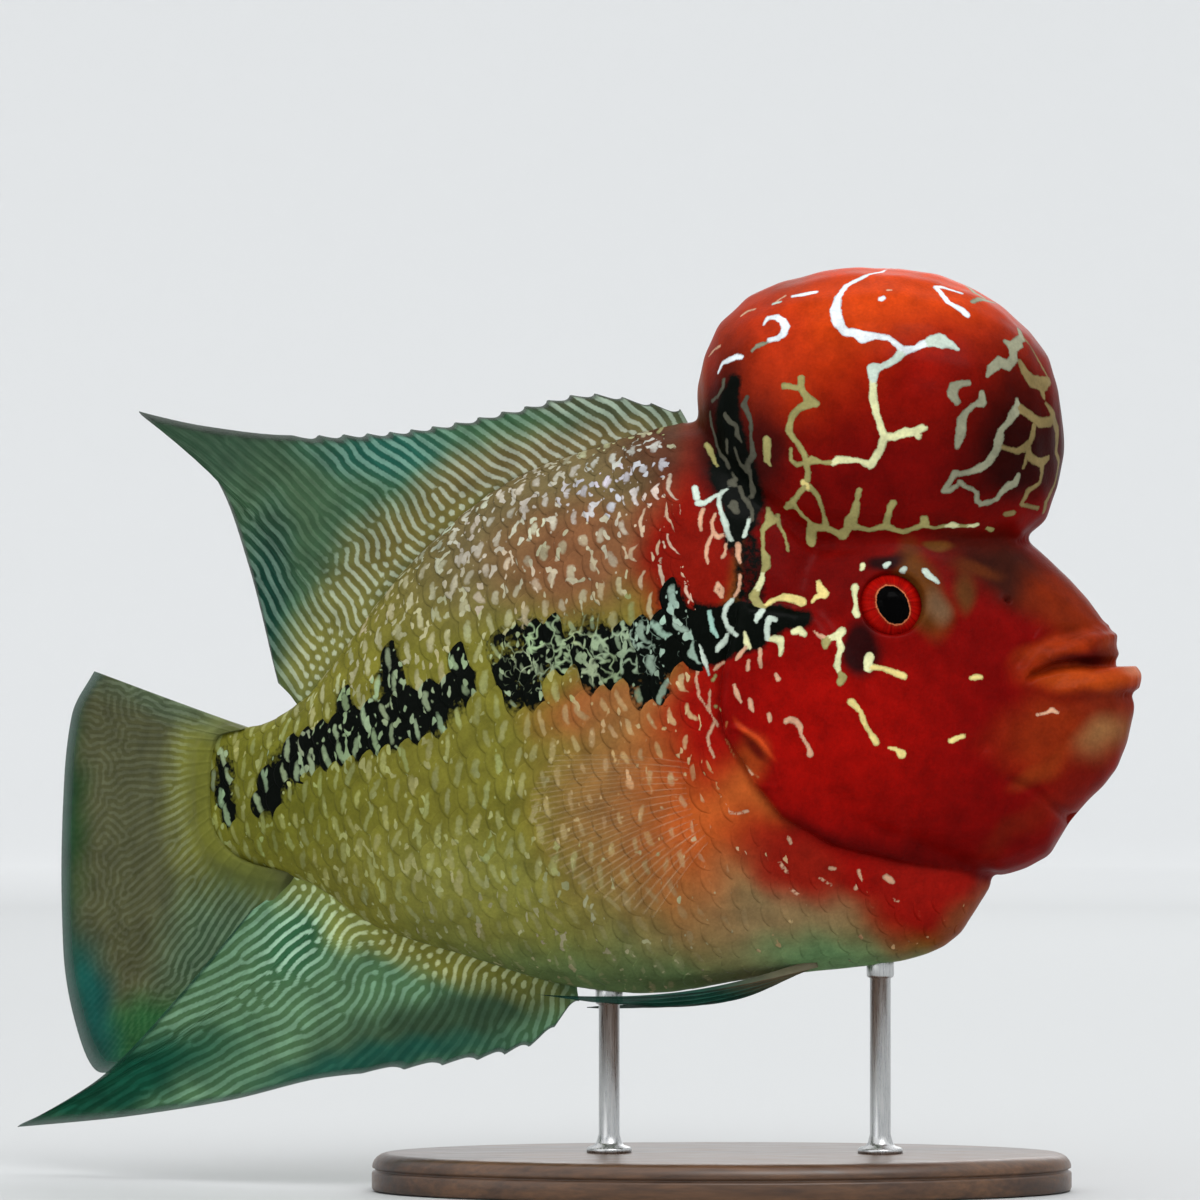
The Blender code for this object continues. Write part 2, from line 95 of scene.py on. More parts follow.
def fish_measure(points):
    """x, side and z in fish millimetres of points in the frame."""
    flat = (np.asarray(points) - DATUM) / MM
    x = flat[..., 0].copy()
    for _ in range(8):
        turn = np.arctan(midline_slope(x))
        side = (flat[..., 1] - midline(x)) / np.cos(turn)
        x = flat[..., 0] + side * np.sin(turn)
    return x, side, flat[..., 2]


# The camera stands two metres from the fish's right side, level with its eye line, as the picture does.
# The picture is 1200 pixels square, and a pixel is 0.24 mm at the fish's midline.
PIXEL = 0.24
PICTURE_DATUM = (580.0, 1190.0)
PICTURE_CENTRE = (600.0, 600.0)
PICTURE_SIZE = 1200
CAMERA_DISTANCE = 2000.0
SENSOR = 36.0


def into_scene(name, data):
    """A new object in the scene that shows this mesh, camera or light."""
    thing = bpy.data.objects.new(name, data)
    bpy.context.scene.collection.objects.link(thing)
    return thing


camera = into_scene("camera", bpy.data.cameras.new("camera"))
camera.data.sensor_width = SENSOR
camera.data.lens = SENSOR * CAMERA_DISTANCE / (PICTURE_SIZE * PIXEL)
CAMERA_AT = np.array([
    (PICTURE_CENTRE[0] - PICTURE_DATUM[0]) * PIXEL,
    -CAMERA_DISTANCE,
    (PICTURE_DATUM[1] - PICTURE_CENTRE[1]) * PIXEL,
]) * MM + DATUM
camera.location = CAMERA_AT
camera.rotation_euler = (math.radians(90), 0, 0)
bpy.context.scene.camera = camera


def sight_line(u, v):
    """Unit direction from the camera through pixel u, v of the picture."""
    on_plane = np.array([(u - PICTURE_DATUM[0]) * PIXEL, 0, (PICTURE_DATUM[1] - v) * PIXEL]) * MM + DATUM
    return Vector(on_plane - CAMERA_AT).normalized()


def seen_at(points):
    """Pixels u, v at which the picture shows points in the frame."""
    away = points - CAMERA_AT
    reach = CAMERA_DISTANCE * MM / away[..., 1]
    flat = (CAMERA_AT + away * reach[..., None] - DATUM) / MM
    return flat[..., 0] / PIXEL + PICTURE_DATUM[0], PICTURE_DATUM[1] - flat[..., 2] / PIXEL


def picture_place(x, side, z):
    """Pixels u, v of fish points, each taken on the side that the picture shows."""
    return seen_at(place(x, -np.abs(side), z))


# Skin. The real one is a single soft hide over head, hump, trunk and tail stalk. The model's is cast in one
# piece of resin, so the flesh solids are fused, smoothed and then modelled with folds, gill edge and mouth.
FLESH = (
    "head", "nuchal_hump", "trunk", "tail_stalk", "gill_cover_right", "gill_cover_left", "upper_lip",
    "lower_lip",
)
EYE_NODES = ("eye_right", "eye_left")
JOIN_BY = 0.2  # each flesh solid grows this much, so that they meet
WELD = 0.01  # points of a solid nearer than this are one
VOXEL = 0.9
SMOOTH_ROUNDS = 70
FINE_PAST_HEAD = 6.0  # how far past the head's edge the finer mesh goes on
SCALE_DEPTH = 0.4  # how far the scaled skin lies under the scales' tops
HEAD_DEPTH = 0.05
GILL_EDGE = (
    (38.5, 140), (34.4, 124), (33.8, 116), (35.3, 109.7), (40.8, 99.8), (48.7, 90), (61, 83.3), (77, 79.2),
    (91, 77.3),
)
HEAD_START = (
    (20, 240), (24, 190), (27, 170), (27.5, 152), (30.5, 141), *GILL_EDGE[1:], (101, 73), (150, 66),
)
HEAD_PAINT_EDGE = ((30, 240), (36, 190), (40, 165), *GILL_EDGE, (101, 73), (150, 66))


def smooth_step(value, low, high):
    t = np.clip((value - low) / (high - low), 0, 1)
    return t * t * (3 - 2 * t)


def fused_flesh():
    """One closed mesh round all the flesh solids and the eyes."""
    body = bmesh.new()
    for name in FLESH + EYE_NODES:
        solid = bmesh.new()
        solid.from_mesh(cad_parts[name].data)
        bmesh.ops.remove_doubles(solid, verts=solid.verts, dist=WELD * MM)
        solid.normal_update()
        moves = [vertex.normal * JOIN_BY * MM for vertex in solid.verts]
        for vertex, move in zip(solid.verts, moves):
            vertex.co += move
        grown = bpy.data.meshes.new(name)
        solid.to_mesh(grown)
        body.from_mesh(grown)
    mesh = bpy.data.meshes.new("fused")
    body.to_mesh(mesh)
    lump = into_scene("fused", mesh)
    remesh = lump.modifiers.new("remesh", "REMESH")
    remesh.mode = "VOXEL"
    remesh.voxel_size = VOXEL * MM
    bpy.context.view_layer.update()
    fused = bpy.data.meshes.new_from_object(lump.evaluated_get(bpy.context.evaluated_depsgraph_get()))
    bpy.data.objects.remove(lump)
    return fused


def mesh_points(mesh):
    points = np.empty(len(mesh.vertices) * 3)
    mesh.vertices.foreach_get("co", points)
    return points.reshape(-1, 3)


def mesh_normals(mesh):
    normals = np.empty(len(mesh.vertices) * 3)
    mesh.vertex_normals.foreach_get("vector", normals)
    return normals.reshape(-1, 3)


def set_points(mesh, points):
    mesh.vertices.foreach_set("co", np.asarray(points, float).ravel())
    mesh.update()


def relax(mesh, rounds, amount, steps=(0.6, -0.62)):
    """Evens a mesh out without shrinking it. amount, from 0 to 1, is given for each point."""
    ends = np.empty(len(mesh.edges) * 2, np.int64)
    mesh.edges.foreach_get("vertices", ends)
    first, second = ends.reshape(-1, 2).T
    points = mesh_points(mesh)
    count = len(points)
    degree = np.bincount(ends, minlength=count)[:, None]
    amount = np.broadcast_to(amount, count)[:, None]
    for _ in range(rounds):
        for step in steps:
            total = np.empty_like(points)
            for axis in range(3):
                total[:, axis] = np.bincount(first, points[second, axis], count)
                total[:, axis] += np.bincount(second, points[first, axis], count)
            points += (total / degree - points) * step * amount
    set_points(mesh, points)


def line_distance(x, z, line):
    """Distance of each point to a line of (x, z) points, and on which side: positive to its left."""
    best = np.full(x.shape, 1e9)
    left = np.zeros(x.shape)
    for (ax, az), (bx, bz) in zip(line, line[1:]):
        dx, dz = bx - ax, bz - az
        t = np.clip(((x - ax) * dx + (z - az) * dz) / (dx * dx + dz * dz), 0, 1)
        off_x, off_z = x - ax - t * dx, z - az - t * dz
        distance = np.hypot(off_x, off_z)
        nearer = distance < best
        best = np.where(nearer, distance, best)
        left = np.where(nearer, dx * (z - az) - dz * (x - ax), left)
    return best, left


def behind_line(x, z, line):
    """How far behind an edge of the head each point lies. Ahead of the edge this is negative."""
    distance, left = line_distance(x, z, line)
    return np.where(left > 0, -distance, distance)


def groove(distance, width):
    return np.exp(-((distance / width) ** 2))


# Eye sockets: middle, size and lean of the eyes
EYE_AT = (74.9, 139.9)
EYE_RADIUS = 8.2
EYE_DEPTH = 5.8
EYE_SIDE = 21.2
EYE_FORWARD_DEG = 7.0
EYE_UP_DEG = 13.0
EYE_OPENING = 7.4
SOCKET_DEPTH = 1.0  # of the skin under the eyeball
SOCKET_REACH = 14.0


def eye_frame(sign):
    """The eye's middle and its axes: forward, up and out of the head."""
    centre = place(np.array(EYE_AT[0]), np.array(sign * EYE_SIDE), np.array(EYE_AT[1]))
    turn = Euler((math.radians(sign * EYE_UP_DEG - 90 * sign), 0, math.radians(-sign * EYE_FORWARD_DEG)))
    out = np.array(turn.to_matrix() @ Vector((0, 0, 1)))
    forward = np.array([1.0, 0, 0]) - out * out[0]
    forward /= np.linalg.norm(forward)
    up = np.cross(out, forward) * (1 if np.cross(out, forward)[2] > 0 else -1)
    return centre, forward, up, out


def eye_dome(radius):
    """Height of the eyeball over its middle plane at that distance from its axis."""
    return EYE_DEPTH * np.sqrt(np.clip(1 - (radius / EYE_RADIUS) ** 2, 0, 1))


# Modelled creases on the side of the head, as lines of (x, z)
MOUTH_SLIT = ((145, 127.6), (128, 127.2), (121, 126.4), (114.7, 125.6), (109.5, 124.2), (107.5, 122.5))
UPPER_LIP_CREASE = ((145, 136), (127.4, 134.9), (121, 134.6), (114.2, 133.2), (109, 130.3), (106.3, 127.2))
LOWER_LIP_CREASE = ((145, 118.2), (132.7, 118.8), (127.2, 119), (121, 118.5), (116.9, 117.4), (112, 115.6))
CHEEK_FOLD = ((108, 130.5), (105.4, 126.2), (104.2, 122.2), (103.9, 117.4), (102.2, 112.8), (98.5, 107))
JAW_CREASE = ((124, 88), (117, 89.6), (114, 92.4), (109.5, 96.5), (104, 98.5))
THROAT_CREASE = ((104, 73.5), (96, 76.2), (84, 78.2), (70, 80.5))
FLAP_EDGE = ((37.7, 111.4), (40.6, 110.2), (43.4, 108.3), (45.6, 106), (47, 103), (48.2, 98))
FLAP_RIM = ((35, 111.4), (35.3, 107.5), (36.2, 104), (39.6, 99.8), (44, 97.6), (48, 97.2))
CREASES = (
    # line, height over the skin, width, and how far from the body's middle it starts
    (UPPER_LIP_CREASE, -0.55, 1.3, 0), (LOWER_LIP_CREASE, -0.5, 1.4, 0), (JAW_CREASE, -1.1, 1.3, 3),
    (THROAT_CREASE, -0.3, 2.2, 0), (FLAP_EDGE, 1.0, 0.8, 5), (FLAP_RIM, 0.35, 0.7, 5),
)
NOSTRIL = (103.0, 141.5)
FLAP_HOLLOW = (41.0, 104.0)
HUMP_CENTRE = (71.9, 184.8)
HUMP_HALF_SIZE = (43.6, 36.5)
LOBE_HEIGHT = 0.2

skin_mesh = fused_flesh()
points = mesh_points(skin_mesh)
x, side, z = fish_measure(points)
on_mouth = smooth_step(x, 100, 108) * smooth_step(z, 106, 112) * (1 - smooth_step(z, 138, 144))
relax(skin_mesh, SMOOTH_ROUNDS, 1 - 0.82 * on_mouth)
relax(skin_mesh, 6, 0.5)

# The head is cut finer than the trunk, for its lines and folds
fine = bmesh.new()
fine.from_mesh(skin_mesh)
centres = np.array([face.calc_center_median() for face in fine.faces])
face_x, _, face_z = fish_measure(centres)
in_head = behind_line(face_x, face_z, HEAD_START) < FINE_PAST_HEAD
fine.faces.ensure_lookup_table()
head_edges = {edge for index in np.flatnonzero(in_head) for edge in fine.faces[index].edges}
bmesh.ops.subdivide_edges(fine, edges=list(head_edges), cuts=1, use_grid_fill=True)
fine.to_mesh(skin_mesh)
fine.free()
relax(skin_mesh, 2, 1.0)

points = mesh_points(skin_mesh)
normals = mesh_normals(skin_mesh)
x, side, z = fish_measure(points)
aside = np.abs(side)
push = np.zeros(len(points))

# Mouth and jaws
mouth, _ = line_distance(x, z, MOUTH_SLIT)
push -= 2.6 * groove(mouth, 0.85) * smooth_step(x, 106.5, 110)
for line, height, width, from_middle in CREASES:
    push += height * groove(line_distance(x, z, line)[0], width) * (aside >= from_middle)
fold, fold_left = line_distance(x, z, CHEEK_FOLD)
push += (0.3 * groove(fold - 2.6, 2.2) * (fold_left > 0) - 0.45 * groove(fold, 1.5)) * (aside > 4)
nostril = np.hypot(x - NOSTRIL[0], z - NOSTRIL[1])
push += 0.45 * groove(nostril, 1.7) - 1.6 * groove(nostril, 0.6)

# Gill cover's free edge, with the soft flap behind it
gill, gill_left = line_distance(x, z, GILL_EDGE)
below_gill_top = 1 - smooth_step(z, 132, 142)
under_head = smooth_step(x, 46, 60)
behind = -(1.25 - 0.65 * under_head) * groove(gill, 1.1 + 1.3 * under_head) * below_gill_top
push += np.where(gill_left > 0, 0.35 * groove(gill - 1.6, 1.4) * below_gill_top, behind) * (aside > 5)
inside_flap = groove(np.hypot((x - FLAP_HOLLOW[0]) / 1.2, (z - FLAP_HOLLOW[1]) * 0.9), 3.2)
push -= 1.1 * inside_flap * (aside > 5)

# Fat on the hump lies in soft lobes
lobe = np.sin(x * 0.31 + 0.9) * np.sin(z * 0.27 + side * 0.17)
lobe += 0.9 * np.sin(x * 0.13 - z * 0.22 + side * 0.25)
hump_reach = np.hypot((x - HUMP_CENTRE[0]) / HUMP_HALF_SIZE[0], (z - HUMP_CENTRE[1]) / HUMP_HALF_SIZE[1])
on_hump = smooth_step(z, 152, 170) * (1 - smooth_step(hump_reach, 1.15, 1.3)) * smooth_step(x, 28, 34)
push += LOBE_HEIGHT * lobe * on_hump

points += normals * push[:, None] * MM

# The skin passes under the eyeballs and rises in a soft ring round them
for sign in (-1, 1):
    centre, forward, up, out = eye_frame(sign)
    from_eye = (points - centre) / MM
    height = from_eye @ out
    flat = from_eye - height[:, None] * out
    radius = np.linalg.norm(flat, axis=1)
    near = (radius < SOCKET_REACH) & (height > -4)
    sunk = np.minimum(height, eye_dome(radius) - SOCKET_DEPTH)
    within = 1 - smooth_step(radius, EYE_OPENING - 0.5, EYE_OPENING + 0.5)
    ring = 0.4 * groove(radius - EYE_OPENING - 1.5, 1.6)
    moved = np.where(near, (sunk - height) * within + ring, 0)
    points += moved[:, None] * out * MM
set_points(skin_mesh, points)
relax(skin_mesh, 1, 1.0)

# Where scales grow, the skin lies under them
points = mesh_points(skin_mesh)
normals = mesh_normals(skin_mesh)
x, side, z = fish_measure(points)
on_trunk = smooth_step(behind_line(x, z, HEAD_START), 0.0, 3.0)
points -= normals * (HEAD_DEPTH + (SCALE_DEPTH - HEAD_DEPTH) * on_trunk)[:, None] * MM
set_points(skin_mesh, points)

skin = into_scene("skin", skin_mesh)
skin_mesh.shade_smooth()
print("skin", len(skin_mesh.vertices), "points", len(skin_mesh.polygons), "faces")
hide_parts(*FLESH)
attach(skin, "root")

# Colours of the skin. On the real fish they lie in the skin itself. A few patches of the head and hump also
# hold painted light and shade, each marked. On the model they are airbrushed over the whole body first, from
# the ground colours to the blushes, so each patch here covers those before it.
# Places are pixels of the picture, as (middle), (reach along and across), lean in degrees and soft share.
PATCHES = (
    ((0.168, 0.156, 0.022), (400, 700), (900, 900), 0, 0.2),  # olive all over
    ((0.132, 0.132, 0.015), (250, 790), (110, 90), 0, 0.6),  # yellower tail stalk
    ((0.118, 0.194, 0.074), (650, 962), (190, 62), 6, 0.6),  # green-grey belly
    ((0.205, 0.200, 0.040), (490, 895), (120, 50), 14, 0.6),  # its yellower rear
    ((0.138, 0.104, 0.044), (560, 500), (190, 85), -24, 0.5),  # brown back
    ((0.080, 0.028, 0.014), (690, 455), (75, 42), 20, 0.6),  # maroon nape
    ((0.195, 0.082, 0.034), (590, 555), (80, 50), -10, 0.6),  # rusty flush behind the shoulder
    ((0.300, 0.060, 0.016), (630, 710), (85, 26), -4, 0.5),  # rusty flush under the black
    ((0.270, 0.125, 0.036), (640, 790), (85, 120), 0, 0.7),  # tan under the breast fin
    ((0.460, 0.090, 0.016), (720, 800), (75, 120), 8, 0.6),  # orange round its base
    ((0.205, 0.006, 0.002), (692, 560), (52, 95), 4, 0.4),  # red shoulder
    ((0.295, 0.005, 0.002), (712, 705), (44, 76), 10, 0.5),
    ((0.255, 0.170, 0.075), (790, 920), (90, 60), 0, 0.6),  # pinkish belly
    ((0.150, 0.280, 0.118), (850, 962), (90, 30), 6, 0.6),
    ((0.290, 0.004, 0.002), (860, 865), (120, 42), 14, 0.4),  # red throat
    ((0.250, 0.010, 0.004), (796, 868), (44, 26), 24, 0.6),
    ((0.270, 0.006, 0.003), (930, 895), (75, 45), -20, 0.5),
    ((0.210, 0.050, 0.016), (975, 915), (40, 22), -50, 0.6),
)
HEAD_PATCHES = (
    ((0.165, 0.0015, 0.001), (880, 700), (900, 900), 0, 0.2),  # crimson all over
    ((0.120, 0.0015, 0.001), (850, 555), (150, 60), 0, 0.6),
    ((0.160, 0.0020, 0.001), (960, 530), (150, 60), 0, 0.7),  # deep red under the hump
    ((0.290, 0.0025, 0.001), (835, 735), (100, 95), 20, 0.7),  # brightest on the gill cover
    ((0.100, 0.0008, 0.0005), (860, 850), (150, 14), 14, 0.8),  # its lower edge in shade
    ((0.036, 0.0065, 0.003), (1015, 573), (75, 26), 24, 0.6),  # olive-brown snout ridge
    ((0.110, 0.0330, 0.005), (922, 590), (19, 42), -18, 0.5),  # brown round the eye
    ((0.160, 0.0850, 0.042), (936, 605), (8, 15), -4, 0.8),
    ((0.085, 0.0260, 0.006), (961, 588), (9, 19), 6, 0.7),
    ((0.100, 0.0200, 0.004), (975, 566), (20, 6), 10, 0.7),
    ((0.016, 0.0020, 0.002), (884, 567), (26, 8), -8, 0.5),  # dark brow
    ((0.020, 0.0020, 0.002), (864, 646), (22, 30), 10, 0.35),  # dark patch below the eye
    ((0.130, 0.0450, 0.008), (942, 548), (13, 4), 4, 0.4),
    ((0.165, 0.0150, 0.002), (1070, 605), (48, 26), 38, 0.6),  # orange snout
    ((0.262, 0.0240, 0.003), (1055, 648), (38, 13), -28, 0.6),  # upper lip
    ((0.200, 0.0250, 0.005), (1108, 645), (14, 16), 0, 0.6),
    ((0.050, 0.0030, 0.002), (1082, 656), (30, 8), -12, 0.7),  # shade inside the mouth
    ((0.365, 0.0460, 0.005), (1095, 680), (60, 15), -2, 0.6),  # lower lip
    ((0.400, 0.1200, 0.060), (1130, 668), (13, 10), 20, 0.7),
    ((0.215, 0.0190, 0.003), (1060, 735), (62, 34), -4, 0.6),  # brown-orange jaw
    ((0.160, 0.0150, 0.004), (1110, 712), (26, 20), 0, 0.6),
    ((0.250, 0.1150, 0.040), (1103, 742), (22, 14), -42, 0.95),  # pale chin: a painted soft highlight
    ((0.225, 0.0260, 0.004), (1045, 768), (30, 9), -30, 0.7),
    ((0.170, 0.0060, 0.002), (1075, 790), (50, 22), -40, 0.7),
    ((0.150, 0.0070, 0.002), (1020, 830), (40, 12), -35, 0.7),
    ((0.300, 0.0380, 0.006), (750, 758), (24, 22), -40, 0.5),  # soft flap of the gill cover
    ((0.110, 0.0060, 0.002), (757, 746), (20, 4.0), 38, 0.6),
    ((0.560, 0.0600, 0.011), (757, 737), (25, 2.6), 38, 0.6),
)
# The hump is paler and more orange towards its top and darker at its foot and front: partly its own orange
# and red, partly painted light from above and painted shade below.
HUMP_PAINT_AND_LIGHT = (
    ((0.250, 0.0045, 0.001), (880, 420), (400, 400), 0, 0.2),
    ((0.400, 0.0260, 0.002), (860, 330), (190, 90), 0, 0.7),
    ((0.500, 0.0440, 0.003), (905, 300), (110, 48), 0, 0.8),  # orange crown, partly painted light from above
    ((0.210, 0.0340, 0.014), (760, 300), (60, 16), -40, 0.8),
    ((0.250, 0.0045, 0.001), (935, 385), (80, 60), 0, 0.8),
    ((0.145, 0.0017, 0.001), (900, 480), (170, 75), 0, 0.7),  # deep red foot, partly painted shade
    ((0.019, 0.0010, 0.0005), (1020, 455), (64, 106), 0, 0.7),  # dark red front, deepened with painted shade
    ((0.400, 0.0260, 0.004), (764, 352), (44, 60), 0, 0.6),
    ((0.045, 0.0030, 0.002), (765, 455), (20, 62), 0, 0.7),  # dark round the nape band
    ((0.030, 0.0030, 0.002), (722, 430), (30, 85), 6, 0.6),
)
LEFT_DRIFT = 2.2


def wander(u, v):
    """A gentle uneven shift, in pixels, so that no airbrushed edge is a true ellipse."""
    along = 5 * np.sin(u / 23 + 1.3 * np.sin(v / 31)) + 2.2 * np.sin(v / 9 + u / 14)
    across = 5 * np.sin(v / 26 + 1.1 * np.sin(u / 37)) + 2.2 * np.sin(u / 8 - v / 15)
    return u + along, v + across


def airbrushed(u, v, patches):
    colour = np.zeros((len(u), len(patches[0][0])))
    u, v = wander(u, v)
    for paint, (at_u, at_v), (reach_u, reach_v), lean, soft in patches:
        c, s = math.cos(math.radians(lean)), math.sin(math.radians(lean))
        along = ((u - at_u) * c + (v - at_v) * s) / reach_u
        across = ((v - at_v) * c - (u - at_u) * s) / reach_v
        cover = 1 - smooth_step(np.hypot(along, across), 1 - soft, 1 + soft)
        colour += (np.array(paint) - colour) * cover[:, None]
    return colour


def drifted_place(x, side, z, share=1.0):
    """Pixels u, v of fish points. On the left side they drift a little, so that the sides aren't twins."""
    drift = np.where(side > 0, LEFT_DRIFT * np.sin(z / 19) * share, 0)
    return picture_place(x + drift, side, z + 0.8 * drift)


def ground_colour(x, side, z):
    """Colour of the skin at fish points, with its painted light and shade, the same on both sides but for a
    little drift on the left.
    """
    u, v = drifted_place(x, side, z, smooth_step(side, 0, 12))
    in_head = smooth_step(-behind_line(x, z, HEAD_PAINT_EDGE), -1.5, 1.0)
    in_hump = smooth_step(z - 0.06 * (x - 70), 158, 168) * smooth_step(x, 22, 32)
    colour = airbrushed(u, v, PATCHES)
    colour += (airbrushed(u, v, HEAD_PATCHES) - colour) * in_head[:, None]
    return colour + (airbrushed(u, v, HUMP_PAINT_AND_LIGHT) - colour) * in_hump[:, None]
